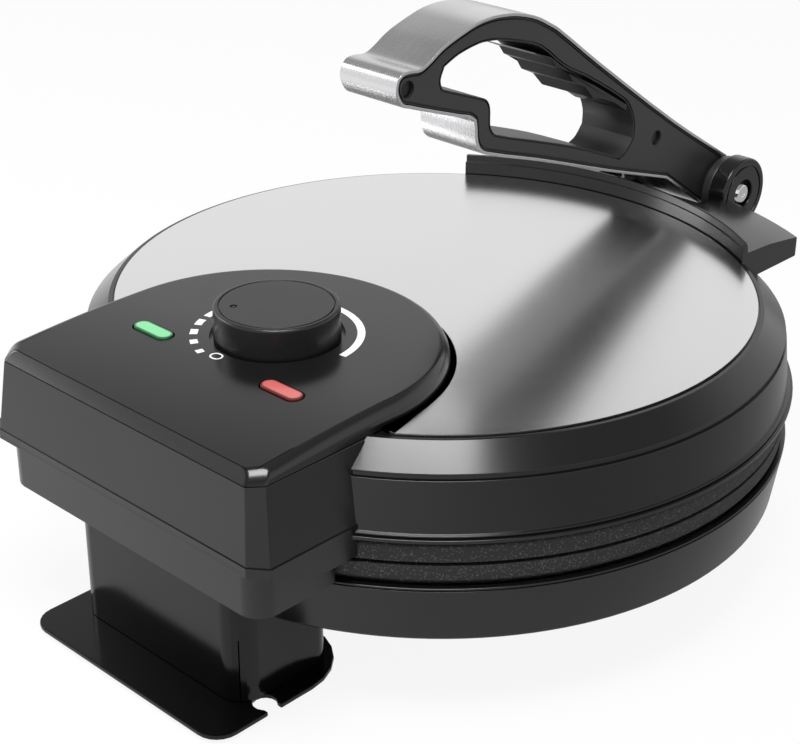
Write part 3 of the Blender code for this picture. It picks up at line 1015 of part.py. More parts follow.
def main():
    """Builds the whole part."""
    black = material("black_plastic", (0.035, 0.035, 0.037), 0.28)
    dark = material("dark_plastic", (0.012, 0.012, 0.013), 0.45)
    steel = material("stainless_steel", (0.74, 0.75, 0.76), 0.24, 1.0)
    plate = material("speckled_coating", (0.045, 0.045, 0.047), 0.55)
    ceramic = material("element_metal", (0.55, 0.54, 0.50), 0.50, 0.3)
    rubber = material("rubber", (0.030, 0.030, 0.030), 0.80)
    green = material("green_lens", (0.12, 0.62, 0.25), 0.25)
    red = material("red_lens", (0.62, 0.05, 0.05), 0.25)
    make_base(black, steel, plate, ceramic)
    make_rear(black, dark, ceramic, steel)
    make_stand(black, rubber)
    make_lid(black, steel, plate, ceramic)
    make_panel(black, dark, ceramic, green, red)
    make_bracket(black, steel)
    make_lever(black, steel, dark)


main()
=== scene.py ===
"""The looks of an electric roti maker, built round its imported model.

Every length is in metres. Shapes are drawn about the axis of the hot plates and
then moved to the model's own frame, where +Z is up and +Y is the control box.
"""
import json
import logging
import math
from dataclasses import dataclass
from enum import Enum
from typing import Iterable, Optional, Sequence

import bmesh
import bpy
from mathutils import Matrix, Vector


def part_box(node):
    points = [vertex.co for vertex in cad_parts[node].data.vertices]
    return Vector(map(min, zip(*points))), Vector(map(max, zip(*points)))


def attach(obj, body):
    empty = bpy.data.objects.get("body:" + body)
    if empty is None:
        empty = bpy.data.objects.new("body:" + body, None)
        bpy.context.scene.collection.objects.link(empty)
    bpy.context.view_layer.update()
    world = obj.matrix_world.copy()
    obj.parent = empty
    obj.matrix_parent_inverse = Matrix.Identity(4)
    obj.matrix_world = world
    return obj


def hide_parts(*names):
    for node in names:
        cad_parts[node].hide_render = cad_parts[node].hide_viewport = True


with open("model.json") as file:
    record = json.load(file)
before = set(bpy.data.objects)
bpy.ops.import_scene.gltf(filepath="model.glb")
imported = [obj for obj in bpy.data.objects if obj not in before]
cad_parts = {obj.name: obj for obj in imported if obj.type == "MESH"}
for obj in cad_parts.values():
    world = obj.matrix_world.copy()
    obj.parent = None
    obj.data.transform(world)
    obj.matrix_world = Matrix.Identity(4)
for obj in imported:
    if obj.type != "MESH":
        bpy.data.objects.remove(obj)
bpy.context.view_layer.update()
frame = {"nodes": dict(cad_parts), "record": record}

LOG = logging.getLogger("roti_maker")
Pair = tuple[float, float]
Corner = tuple[float, float, float]
ROUND_STEPS = 144
HUB_STEPS = 72
SMALL_STEPS = 48
ARC_STEPS = 4
WELD = 0.000005
OVERRUN = 0.004
GAP = 0.0003


class Body(Enum):
    """The bodies that pieces ride on."""

    BASE = "base"
    LID = "lid"
    KNOB = "knob"
    LEVER = "lever"


class Join(Enum):
    """The ways in which one shape works on another."""

    CUT = "DIFFERENCE"
    ADD = "UNION"
    CROSS = "INTERSECT"


class Axis(Enum):
    """The direction that an outline is extruded in."""

    X = 0
    Z = 2


@dataclass(frozen=True)
class Datum:
    """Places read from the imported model.

    Args:
        plates_y: where the axis of the hot plates stands along Y.
        steel_z: height of the steel cover's top.
        hinge: a point on the lid's hinge axis, about the plates' axis.
        pivot: a point on the lever's pivot axis, about the plates' axis.
        knob_y: place of the knob's axis, about the plates' axis.
    """

    plates_y: float
    steel_z: float
    hinge: Vector
    pivot: Vector
    knob_y: float

    @classmethod
    def read(cls) -> "Datum":
        """Reads the places from the frame.

        Returns:
            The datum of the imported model.
        """
        low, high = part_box("base_housing")
        plates_y = (low[1] + high[1]) / 2
        shift = Vector((0.0, plates_y, 0.0))
        listed = frame["record"]["behaviour"]["joints"]
        joints = {joint["name"]: Vector(joint["pos_m"]) - shift for joint in listed}
        return cls(plates_y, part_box("steel_cover")[1][2], joints["lid_hinge"], joints["lever_hinge"],
                   joints["knob_turn"].y)


DATUM = Datum.read()


def above(height: float) -> float:
    """Turns a height from the steel cover's top into one from the table."""
    return DATUM.steel_z + height


def rounded(corners: Sequence[Corner], closed: bool = True, steps: int = ARC_STEPS) -> list[Pair]:
    """Rounds the corners of a run of points.

    Args:
        corners: (u, v, radius) of each corner, where a radius of zero stays sharp.
        closed: whether the run's ends meet.
        steps: facets of each rounded corner.

    Returns:
        The points of the rounded run.
    """
    points: list[Pair] = []
    count = len(corners)
    for index, (u, v, radius) in enumerate(corners):
        end = not closed and index in (0, count - 1)
        if radius <= 0 or end:
            points.append((u, v))
            continue
        here = Vector((u, v))
        before = (Vector(corners[index - 1][:2]) - here).normalized()
        after = (Vector(corners[(index + 1) % count][:2]) - here).normalized()
        half = before.angle(after) / 2
        centre = here + (before + after).normalized() * radius / math.sin(half)
        first = here + before * radius / math.tan(half) - centre
        last = here + after * radius / math.tan(half) - centre
        sweep = first.angle_signed(last)
        for step in range(steps + 1):
            spot = centre + Matrix.Rotation(-sweep * step / steps, 2) @ first
            points.append((spot.x, spot.y))
    return points


def arc(centre: Pair, radius: float, start: float, end: float, steps: int) -> list[Pair]:
    """Points of an arc between two angles, both ends included."""
    turns = (start + (end - start) * step / steps for step in range(steps + 1))
    return [(centre[0] + radius * math.cos(turn), centre[1] + radius * math.sin(turn)) for turn in turns]


def circle(centre: Pair, radius: float, steps: int = SMALL_STEPS) -> list[Pair]:
    """Points of a circle."""
    return arc(centre, radius, 0.0, 2 * math.pi, steps)[:-1]


def obround(centre: Pair, length: float, width: float) -> list[Pair]:
    """Points of a slot shape that is long along X."""
    reach, radius, quarter = (length - width) / 2, width / 2, math.pi / 2
    return (arc((centre[0] + reach, centre[1]), radius, -quarter, quarter, ARC_STEPS * 3)
            + arc((centre[0] - reach, centre[1]), radius, quarter, 3 * quarter, ARC_STEPS * 3))


def turned(profile: Sequence[Pair], closed: bool = False, steps: int = ROUND_STEPS) -> bmesh.types.BMesh:
    """Turns a profile of (radius, height) points about Z.

    Args:
        profile: the points, which start and end on the axis unless the profile is closed.
        closed: whether the profile is a ring's section.
        steps: facets round the axis.

    Returns:
        A closed bmesh.
    """
    bm = bmesh.new()
    verts = [bm.verts.new((radius, 0.0, height)) for radius, height in profile]
    edges = [bm.edges.new(pair) for pair in zip(verts, verts[1:])]
    if closed:
        edges.append(bm.edges.new((verts[-1], verts[0])))
    bmesh.ops.spin(bm, geom=verts + edges, cent=(0, 0, 0), axis=(0, 0, 1), angle=2 * math.pi, steps=steps,
                   use_merge=True)
    bmesh.ops.remove_doubles(bm, verts=bm.verts, dist=WELD)
    bmesh.ops.recalc_face_normals(bm, faces=bm.faces)
    return bm


def lying(bm: bmesh.types.BMesh, place: Vector, mirror: bool = False) -> bmesh.types.BMesh:
    """Lays a turned shape along X at a place, perhaps mirrored to -X."""
    bmesh.ops.rotate(bm, verts=bm.verts, matrix=Matrix.Rotation(math.pi / 2, 3, "Y"))
    if mirror:
        bmesh.ops.scale(bm, vec=(-1, 1, 1), verts=bm.verts)
    bmesh.ops.translate(bm, verts=bm.verts, vec=place)
    bmesh.ops.recalc_face_normals(bm, faces=bm.faces)
    return bm


def prism(loops: Sequence[Sequence[Pair]], low: float, high: float, axis: Axis = Axis.Z, ease: float = 0.0,
          top: Optional[Sequence[Pair]] = None) -> bmesh.types.BMesh:
    """Extrudes outlines, the first the outer one and the others holes in it.

    Args:
        loops: the outlines, in the plane square to the axis.
        low: where the prism starts along the axis.
        high: where it ends.
        axis: the direction of extrusion.
        ease: how far the rims at both ends are rounded.
        top: the outer outline at the high end, where it differs from the low one.

    Returns:
        A closed bmesh.
    """
    bm = bmesh.new()
    edges = []
    for loop in loops:
        verts = [bm.verts.new((low, u, v) if axis is Axis.X else (u, v, low)) for u, v in loop]
        edges += [bm.edges.new((vert, verts[index - 1])) for index, vert in enumerate(verts)]
    if len(loops) == 1:
        bmesh.ops.contextual_create(bm, geom=edges)
    else:
        bmesh.ops.triangle_fill(bm, use_beauty=True, edges=edges)
    out = bmesh.ops.extrude_face_region(bm, geom=bm.faces[:])
    raised = [item for item in out["geom"] if isinstance(item, bmesh.types.BMVert)]
    for vert in raised:
        vert.co[axis.value] = high
    if top:
        places = {vert: min(zip(loops[0], top), key=lambda pair: (Vector(pair[0]) - vert.co.xy).length)[1]
                  for vert in raised}
        for vert, (u, v) in places.items():
            vert.co.x, vert.co.y = u, v
    bmesh.ops.recalc_face_normals(bm, faces=bm.faces)
    if ease:
        rims = [edge for edge in bm.edges if edge_turn(edge) > math.radians(60)
                and abs(edge.verts[0].co[axis.value] - edge.verts[1].co[axis.value]) < WELD]
        ease_edges(bm, rims, ease)
    return bm


def lofted(rings: Sequence[Sequence[Corner]]) -> bmesh.types.BMesh:
    """Skins a run of rings with as many points each, and closes both ends."""
    bm = bmesh.new()
    loops = []
    for ring in rings:
        verts = [bm.verts.new(point) for point in ring]
        loops.append([bm.edges.new((vert, verts[index - 1])) for index, vert in enumerate(verts)])
    for first, second in zip(loops, loops[1:]):
        bmesh.ops.bridge_loops(bm, edges=first + second)
    for end in (loops[0], loops[-1]):
        bmesh.ops.contextual_create(bm, geom=end)
    bmesh.ops.recalc_face_normals(bm, faces=bm.faces)
    return bm


def score_outline(bm: bmesh.types.BMesh, faces: Sequence[bmesh.types.BMFace], margin: float, width: float,
                  depth: float) -> None:
    """Cuts a fine groove along the outline of a flat side.

    Args:
        bm: the shape.
        faces: the faces of the flat side.
        margin: distance of the groove from the outline.
        width: width of the groove.
        depth: depth of the groove.
    """
    for thickness, sink in ((margin, 0.0), (WELD * 4, -depth), (width, 0.0), (WELD * 4, depth)):
        bmesh.ops.inset_region(bm, faces=faces, thickness=thickness, depth=sink, use_boundary=True,
                               use_even_offset=True)


def edge_turn(edge: bmesh.types.BMEdge) -> float:
    """The angle that the surface turns by at an edge."""
    return edge.calc_face_angle(0.0)


def ease_edges(bm: bmesh.types.BMesh, edges: Iterable[bmesh.types.BMEdge], width: float) -> None:
    """Rounds edges by a width."""
    bmesh.ops.bevel(bm, geom=list(edges), offset=width, offset_type="OFFSET", segments=2, profile=0.5,
                    affect="EDGES", material=-1, clamp_overlap=True)


def block(x: Pair, y: Pair, z: Pair) -> bmesh.types.BMesh:
    """A plain block between two places along each axis."""
    bm = bmesh.new()
    bmesh.ops.create_cube(bm, size=1.0)
    bmesh.ops.scale(bm, vec=(x[1] - x[0], y[1] - y[0], z[1] - z[0]), verts=bm.verts)
    bmesh.ops.translate(bm, verts=bm.verts, vec=(sum(x) / 2, sum(y) / 2, sum(z) / 2))
    return bm


def rod(radius: float, low: float, high: float, steps: int = SMALL_STEPS) -> bmesh.types.BMesh:
    """A plain upright rod on the axis, used as a cutter."""
    return turned([(0.0, low), (radius, low), (radius, high), (0.0, high)], steps=steps)


def moved(bm: bmesh.types.BMesh, x: float = 0.0, y: float = 0.0, z: float = 0.0) -> bmesh.types.BMesh:
    """Moves a shape."""
    bmesh.ops.translate(bm, verts=bm.verts, vec=(x, y, z))
    return bm


def combined(bm: bmesh.types.BMesh, other: bmesh.types.BMesh, join: Join = Join.CUT) -> bmesh.types.BMesh:
    """Cuts a shape with another, or joins or crosses the two.

    Args:
        bm: the shape that is worked on. It is freed.
        other: the cutter or the shape to add. It is freed.
        join: whether it is cut, added to or crossed.

    Returns:
        The result as a new bmesh.
    """
    holders = []
    for source in (bm, other):
        mesh = bpy.data.meshes.new("work")
        source.to_mesh(mesh)
        source.free()
        holders.append(bpy.data.objects.new("work", mesh))
        bpy.context.scene.collection.objects.link(holders[-1])
    step = holders[0].modifiers.new("work", "BOOLEAN")
    step.operation, step.solver, step.object = join.value, "EXACT", holders[1]
    result = bmesh.new()
    result.from_mesh(holders[0].evaluated_get(bpy.context.evaluated_depsgraph_get()).to_mesh())
    for holder in holders:
        mesh = holder.data
        bpy.data.objects.remove(holder, do_unlink=True)
        bpy.data.meshes.remove(mesh)
    bmesh.ops.remove_doubles(result, verts=result.verts, dist=WELD)
    bmesh.ops.dissolve_degenerate(result, edges=result.edges, dist=WELD)
    return result


def copied(node: str, ease: float = 0.0) -> bmesh.types.BMesh:
    """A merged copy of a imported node's mesh, drawn about the plates' axis.

    Args:
        node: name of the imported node.
        ease: how far its sharp edges are rounded.

    Returns:
        The copy as a bmesh.
    """
    bm = bmesh.new()
    bm.from_mesh(frame["nodes"][node].data)
    bm.transform(frame["nodes"][node].matrix_world)
    bmesh.ops.remove_doubles(bm, verts=bm.verts, dist=WELD)
    bmesh.ops.dissolve_limit(bm, angle_limit=math.radians(0.5), verts=bm.verts, edges=bm.edges)
    bmesh.ops.recalc_face_normals(bm, faces=bm.faces)
    if ease:
        ease_edges(bm, [edge for edge in bm.edges if edge_turn(edge) > math.radians(40)], ease)
    return moved(bm, y=-DATUM.plates_y)


def side_loops(node: str, side: float) -> list[list[Pair]]:
    """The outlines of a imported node's widest flat side, from a copy of its mesh.

    Args:
        node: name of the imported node.
        side: -1 for its side at -X, or 1 for the one at +X.

    Returns:
        The outlines as (y, z) points, the longest first.
    """
    bm = copied(node)
    bm.edges.index_update()
    facing = [face for face in bm.faces if face.normal.x * side > 0.99]
    areas: dict[float, float] = {}
    for face in facing:
        plane = round(face.calc_center_median().x, 5)
        areas[plane] = areas.get(plane, 0.0) + face.calc_area()
    widest = max(areas, key=areas.get)
    flat = {face for face in facing if abs(face.calc_center_median().x - widest) < 2 * WELD}
    rim = {edge for face in flat for edge in face.edges if sum(other in flat for other in edge.link_faces) == 1}
    loops = []
    while rim:
        edge = min(rim, key=lambda item: item.index)
        rim.discard(edge)
        loop = [edge.verts[0], edge.verts[1]]
        while True:
            following = next((item for item in loop[-1].link_edges if item in rim), None)
            if following is None:
                break
            rim.discard(following)
            loop.append(following.other_vert(loop[-1]))
        if loop[0] is loop[-1]:
            loop.pop()
        loops.append([(vert.co.y, vert.co.z) for vert in loop])
    bm.free()
    return sorted(loops, key=len, reverse=True)


def flowing(loop: Sequence[Pair], corner: float = 38.0, steps: int = 3) -> list[Pair]:
    """Runs a smooth curve through an outline's points, except at its sharp corners.

    Args:
        loop: the outline's points.
        corner: the turn in degrees from which a point is a corner.
        steps: parts that each stretch is divided into.

    Returns:
        The points of the smooth outline.
    """
    points = [Vector(point) for point in loop]
    count = len(points)
    sharp = []
    for index, point in enumerate(points):
        before, after = point - points[index - 1], points[(index + 1) % count] - point
        sharp.append(math.degrees(before.angle(after, 0.0)) > corner)
    smooth: list[Pair] = []
    for index, start in enumerate(points):
        end = points[(index + 1) % count]
        lead = start if sharp[index] else points[index - 1]
        trail = end if sharp[(index + 1) % count] else points[(index + 2) % count]
        span = (end - start).length
        slope_in = (end - lead).normalized() * span
        slope_out = (trail - start).normalized() * span
        for step in range(steps):
            t = step / steps
            spot = (start * (2 * t ** 3 - 3 * t ** 2 + 1) + slope_in * (t ** 3 - 2 * t ** 2 + t)
                    + end * (3 * t ** 2 - 2 * t ** 3) + slope_out * (t ** 3 - t ** 2))
            smooth.append((spot.x, spot.y))
    return smooth


def publish(name: str, bm: bmesh.types.BMesh, finish: bpy.types.Material, body: Body,
            stands_for: Sequence[str] = (),
            crease: float = 32.0) -> bpy.types.Object:
    """Makes a finished piece of a shape.

    Args:
        name: the piece's name.
        bm: its shape about the plates' axis. It is freed.
        finish: its material.
        body: the body that it rides on.
        stands_for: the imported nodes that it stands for.
        crease: the angle in degrees from which an edge stays sharp in shading.

    Returns:
        The piece's object.
    """
    moved(bm, y=DATUM.plates_y)
    mesh = bpy.data.meshes.new(name)
    bm.to_mesh(mesh)
    bm.free()
    mesh.materials.clear()
    mesh.materials.append(finish)
    for polygon in mesh.polygons:
        polygon.material_index = 0
    mesh.shade_smooth()
    mesh.set_sharp_from_angle(angle=math.radians(crease))
    piece = bpy.data.objects.new(name, mesh)
    bpy.context.scene.collection.objects.link(piece)
    flats = piece.modifiers.new("flat_shading", "WEIGHTED_NORMAL")
    flats.keep_sharp = True
    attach(piece, body.value)
    if stands_for:
        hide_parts(*stands_for)
    LOG.info("%s: %d faces on %s", name, len(mesh.polygons), body.value)
    return piece


class Nodes:
    """A short way to write a node tree."""

    def __init__(self, tree: bpy.types.NodeTree) -> None:
        """Starts on a tree."""
        self.tree = tree

    def add(self, kind: str, inputs: Optional[dict] = None, **settings) -> bpy.types.Node:
        """Adds a node.

        Args:
            kind: the node's type name without its ShaderNode prefix.
            inputs: values, or sockets to link, for its inputs by name or number.
            settings: the node's own properties.

        Returns:
            The node.
        """
        node = self.tree.nodes.new("ShaderNode" + kind)
        for key, value in settings.items():
            setattr(node, key, value)
        for key, value in (inputs or {}).items():
            if isinstance(value, bpy.types.NodeSocket):
                self.tree.links.new(value, node.inputs[key])
            else:
                node.inputs[key].default_value = value
        return node

    def math(self, operation: str, first, second=0.0, clamp: bool = False) -> bpy.types.NodeSocket:
        """Adds a Math node and returns its result."""
        return self.add("Math", {0: first, 1: second}, operation=operation, use_clamp=clamp).outputs[0]

    def noise(self, vector: bpy.types.NodeSocket, scale: float, detail: float = 3.0) -> bpy.types.NodeSocket:
        """Adds a noise texture and returns its value."""
        return self.add("TexNoise", {"Vector": vector, "Scale": scale, "Detail": detail}).outputs["Fac"]

    def spread(self, value: bpy.types.NodeSocket, low: float, high: float, start: float = 0.0,
               end: float = 1.0) -> bpy.types.NodeSocket:
        """Maps a value from one range to another and returns the result."""
        return self.add("MapRange", {"Value": value, "From Min": start, "From Max": end, "To Min": low,
                                     "To Max": high}).outputs["Result"]

    def bump(self, height: bpy.types.NodeSocket, strength: float,
             distance: float = 0.0002) -> bpy.types.NodeSocket:
        """Adds a bump and returns its normal."""
        return self.add("Bump", {"Height": height, "Strength": strength, "Distance": distance}).outputs[0]

    def blend(self, share: bpy.types.NodeSocket, first: Corner, second: Corner) -> bpy.types.NodeSocket:
        """Mixes two colours by a share and returns the colour."""
        mix = self.add("Mix", {"Factor": share}, data_type="RGBA")
        sides = [socket for socket in mix.inputs if socket.type == "RGBA"]
        sides[0].default_value, sides[1].default_value = (*first, 1.0), (*second, 1.0)
        return next(socket for socket in mix.outputs if socket.type == "RGBA")


def moulding_group() -> bpy.types.NodeTree:
    """Builds the surface of moulded plastic: a fine texture, soft waves and faint wipe marks.

    Returns:
        The node group, with Scale, Roughness, Texture and Wipe inputs and Height and Roughness outputs.
    """
    tree = bpy.data.node_groups.new("moulded_surface", "ShaderNodeTree")
    for name, value in (("Scale", 1.0), ("Roughness", 0.3), ("Texture", 0.5), ("Wipe", 0.05)):
        tree.interface.new_socket(name, in_out="INPUT", socket_type="NodeSocketFloat").default_value = value
    for name in ("Height", "Roughness"):
        tree.interface.new_socket(name, in_out="OUTPUT", socket_type="NodeSocketFloat")
    nodes = Nodes(tree)
    given = tree.nodes.new("NodeGroupInput").outputs
    place = nodes.add("TexCoord").outputs["Object"]
    scaled = nodes.add("VectorMath", {0: place, "Scale": given["Scale"]}, operation="SCALE").outputs[0]
    grain = nodes.noise(scaled, 2600.0, 2.0)
    wave = nodes.noise(scaled, 18.0, 1.0)
    relief = nodes.math("ADD", grain, nodes.math("MULTIPLY", wave, 2.0))
    height = nodes.math("MULTIPLY", relief, given["Texture"])
    smear = nodes.noise(scaled, 34.0, 5.0)
    marks = nodes.math("MULTIPLY", nodes.math("SUBTRACT", smear, 0.5), given["Wipe"])
    result = tree.nodes.new("NodeGroupOutput")
    tree.links.new(height, result.inputs["Height"])
    tree.links.new(nodes.math("ADD", given["Roughness"], marks, clamp=True), result.inputs["Roughness"])
    return tree


def brushed_group() -> bpy.types.NodeTree:
    """Builds brushed metal: fine lines along one coordinate, as height and roughness.

    Returns:
        The node group, with Along, Across, Fineness, Roughness and Depth inputs and Height, Roughness
        and Tone outputs.
    """
    tree = bpy.data.node_groups.new("brushed_lines", "ShaderNodeTree")
    for name, value in (("Along", 0.0), ("Across", 0.0), ("Fineness", 4000.0), ("Roughness", 0.25),
                        ("Depth", 0.1)):
        tree.interface.new_socket(name, in_out="INPUT", socket_type="NodeSocketFloat").default_value = value
    for name in ("Height", "Roughness", "Tone"):
        tree.interface.new_socket(name, in_out="OUTPUT", socket_type="NodeSocketFloat")
    nodes = Nodes(tree)
    given = tree.nodes.new("NodeGroupInput").outputs
    across = nodes.math("MULTIPLY", given["Across"], given["Fineness"])
    spot = nodes.add("CombineXYZ", {"X": given["Along"], "Y": across}).outputs[0]
    lines = nodes.noise(spot, 1.0, 4.0)
    result = tree.nodes.new("NodeGroupOutput")
    tree.links.new(nodes.math("MULTIPLY", lines, given["Depth"]), result.inputs["Height"])
    swing = nodes.math("MULTIPLY", nodes.math("SUBTRACT", lines, 0.5), 0.12)
    tree.links.new(nodes.math("ADD", given["Roughness"], swing, clamp=True), result.inputs["Roughness"])
    tree.links.new(nodes.spread(lines, 0.94, 1.04), result.inputs["Tone"])
    return tree


MOULDED = moulding_group()
BRUSHED = brushed_group()


@dataclass(frozen=True)
class Finish:
    """A finish as plain values, made into a material by one of its subclasses."""

    name: str
    colour: tuple[float, float, float]
    roughness: float = 0.3

    def start(self) -> tuple[bpy.types.Material, Nodes, bpy.types.Node]:
        """Starts a material.

        Returns:
            The material, its nodes and its Principled shader.
        """
        made = bpy.data.materials.new(self.name)
        made.use_nodes = True
        shader = made.node_tree.nodes["Principled BSDF"]
        shader.inputs["Base Color"].default_value = (*self.colour, 1.0)
        shader.inputs["Roughness"].default_value = self.roughness
        return made, Nodes(made.node_tree), shader

    def material(self) -> bpy.types.Material:
        """Makes the material."""
        return self.start()[0]


@dataclass(frozen=True)
class Moulded(Finish):
    """Moulded plastic or rubber, with its fine surface texture."""

    texture: float = 0.5
    wipe: float = 0.05
    bump: float = 0.05
    specular: float = 0.5

    def material(self) -> bpy.types.Material:
        """Makes the material."""
        made, nodes, shader = self.start()
        surface = nodes.add("Group", node_tree=MOULDED)
        surface.inputs["Roughness"].default_value = self.roughness
        surface.inputs["Texture"].default_value = self.texture
        surface.inputs["Wipe"].default_value = self.wipe
        made.node_tree.links.new(nodes.bump(surface.outputs["Height"], self.bump), shader.inputs["Normal"])
        made.node_tree.links.new(surface.outputs["Roughness"], shader.inputs["Roughness"])
        shader.inputs["Specular IOR Level"].default_value = self.specular
        return made


@dataclass(frozen=True)
class Speckled(Finish):
    """A dark non-stick coating with fine pale specks and a pebbled feel."""

    fleck: tuple[float, float, float] = (0.12, 0.12, 0.12)

    def material(self) -> bpy.types.Material:
        """Makes the material."""
        made, nodes, shader = self.start()
        place = nodes.add("TexCoord").outputs["Object"]
        cells = nodes.add("TexVoronoi", {"Vector": place, "Scale": 2800.0}).outputs["Color"]
        value = nodes.add("SeparateColor", {"Color": cells}).outputs[0]
        specks = nodes.math("GREATER_THAN", value, 0.90)
        soft = nodes.noise(place, 900.0, 4.0)
        colour = nodes.blend(nodes.math("MULTIPLY", specks, soft), self.colour, self.fleck)
        made.node_tree.links.new(colour, shader.inputs["Base Color"])
        made.node_tree.links.new(nodes.bump(nodes.math("ADD", value, soft), 0.35), shader.inputs["Normal"])
        return made


@dataclass(frozen=True)
class Steel(Finish):
    """Brushed or polished steel. Its lines run round the plates' axis, or along the lever."""

    round_lines: bool = False
    fineness: float = 4000.0
    depth: float = 0.1
    anisotropy: float = 0.0

    def material(self) -> bpy.types.Material:
        """Makes the material."""
        made, nodes, shader = self.start()
        place = nodes.add("TexCoord").outputs["Object"]
        local = nodes.add("Mapping", {"Vector": place, "Location": (0.0, -DATUM.plates_y, 0.0)}).outputs[0]
        parts = nodes.add("SeparateXYZ", {"Vector": local}).outputs
        if self.round_lines:
            along = nodes.math("ARCTAN2", parts["Y"], parts["X"])
            level = nodes.add("CombineXYZ", {"X": parts["X"], "Y": parts["Y"]}).outputs[0]
            across = nodes.add("VectorMath", {0: level}, operation="LENGTH").outputs["Value"]
            tangent = nodes.add("VectorMath", {0: (0.0, 0.0, 1.0), 1: local}, operation="CROSS_PRODUCT")
            flat = nodes.add("VectorMath", {0: tangent.outputs[0]}, operation="NORMALIZE").outputs[0]
            made.node_tree.links.new(flat, shader.inputs["Tangent"])
        else:
            along = nodes.math("MULTIPLY", nodes.math("ADD", parts["Y"], parts["Z"]), 60.0)
            across = parts["X"]
        lines = nodes.add("Group", node_tree=BRUSHED)
        made.node_tree.links.new(along, lines.inputs["Along"])
        made.node_tree.links.new(across, lines.inputs["Across"])
        lines.inputs["Fineness"].default_value = self.fineness
        lines.inputs["Roughness"].default_value = self.roughness
        lines.inputs["Depth"].default_value = self.depth
        shaded = nodes.add("VectorMath", {0: self.colour, "Scale": lines.outputs["Tone"]}, operation="SCALE")
        for target, socket in (("Base Color", shaded.outputs[0]), ("Roughness", lines.outputs["Roughness"]),
                               ("Normal", nodes.bump(lines.outputs["Height"], 0.10, 0.0001))):
            made.node_tree.links.new(socket, shader.inputs[target])
        shader.inputs["Metallic"].default_value = 1.0
        shader.inputs["Anisotropic"].default_value = self.anisotropy
        return made


@dataclass(frozen=True)
class Lens(Finish):
    """A translucent lamp lens, paler at its middle than at its rim: the near-black rim is painted shade where
    the lens meets its opening.
    """

    # rim: colour of the painted shade round the lens's edge, not a tint of the lens itself.
    rim: tuple[float, float, float] = (0.1, 0.1, 0.1)
    centre_x: float = 0.0
    half: tuple[float, float] = (0.0088, 0.0033)

    def material(self) -> bpy.types.Material:
        """Makes the material."""
        made, nodes, shader = self.start()
        place = nodes.add("TexCoord").outputs["Object"]
        centre = (-self.centre_x, -DATUM.plates_y - ControlPanel.lamp_y, 0.0)
        local = nodes.add("Mapping", {"Vector": place, "Location": centre}).outputs[0]
        parts = nodes.add("SeparateXYZ", {"Vector": local}).outputs
        reach = self.half[0] - self.half[1]
        past = nodes.math("MAXIMUM", nodes.math("SUBTRACT", nodes.math("ABSOLUTE", parts["X"]), reach), 0.0)
        squares = [nodes.math("MULTIPLY", side, side) for side in (past, parts["Y"])]
        edge = nodes.math("DIVIDE", nodes.math("SQRT", nodes.math("ADD", *squares)), self.half[1])
        # Blends the lens colour into the rim's painted shade over the outer part of the obround.
        colour = nodes.blend(nodes.spread(edge, 0.0, 1.0, 0.66, 0.86), self.colour, self.rim)
        made.node_tree.links.new(colour, shader.inputs["Base Color"])
        grain = nodes.noise(place, 900.0, 1.0)
        made.node_tree.links.new(nodes.bump(grain, 0.03), shader.inputs["Normal"])
        shader.inputs["Coat Weight"].default_value = 0.5
        shader.inputs["Coat Roughness"].default_value = 0.1
        return made


class Palette:
    """Every finish of the object, made once."""

    def __init__(self) -> None:
        """Makes the materials."""
        self.housing = Moulded("housing_black", (0.005, 0.005, 0.0053), 0.20, texture=0.4, bump=0.03).material()
        self.panel = Moulded("panel_black", (0.006, 0.006, 0.0063), 0.20, texture=0.4, bump=0.03).material()
        self.rear = Moulded("rear_housing_black", (0.008, 0.008, 0.0083), 0.22, texture=0.4,
                            bump=0.03).material()
        self.stand = Moulded("stand_black", (0.003, 0.003, 0.003), 0.16, texture=0.4, bump=0.02,
                             specular=0.3).material()
        self.lever = Moulded("lever_black", (0.022, 0.022, 0.0225), 0.38, texture=0.6, bump=0.06).material()
        self.grip = Moulded("grip_black", (0.007, 0.007, 0.007), 0.28, texture=0.6, bump=0.05).material()
        self.knob = Moulded("knob_black", (0.006, 0.006, 0.0063), 0.34, texture=0.4, bump=0.03).material()
        self.hidden = Moulded("inner_black", (0.008, 0.008, 0.008), 0.55, texture=0.8, bump=0.1).material()
        self.rubber = Moulded("rubber_black", (0.012, 0.012, 0.012), 0.75, texture=1.2, bump=0.3).material()
        self.heat_moulding = Moulded("heat_moulding", (0.55, 0.53, 0.47), 0.55, texture=0.9,
                                     bump=0.15).material()
        self.print = Moulded("white_print", (0.86, 0.86, 0.86), 0.45, texture=0.3, bump=0.04).material()
        self.plate = Speckled("speckled_coating", (0.009, 0.009, 0.009), 0.62).material()
        self.disc = Steel("disc_steel", (0.82, 0.82, 0.82), 0.225, round_lines=True, fineness=5000.0,
                          depth=0.07).material()
        self.strap = Steel("strap_steel", (0.66, 0.66, 0.67), 0.27, fineness=3600.0, depth=0.6,
                           anisotropy=0.3).material()
        self.bright = Steel("bright_steel", (0.86, 0.86, 0.87), 0.12, fineness=1800.0, depth=0.3).material()
        self.screw = Steel("blackened_steel", (0.05, 0.05, 0.05), 0.40, fineness=1800.0, depth=0.3).material()
        self.shield = Steel("shield_steel", (0.60, 0.60, 0.59), 0.42, round_lines=True, fineness=900.0,
                            depth=1.0).material()
        self.element = Steel("element_steel", (0.30, 0.28, 0.26), 0.50, round_lines=True, fineness=700.0,
                             depth=1.0).material()


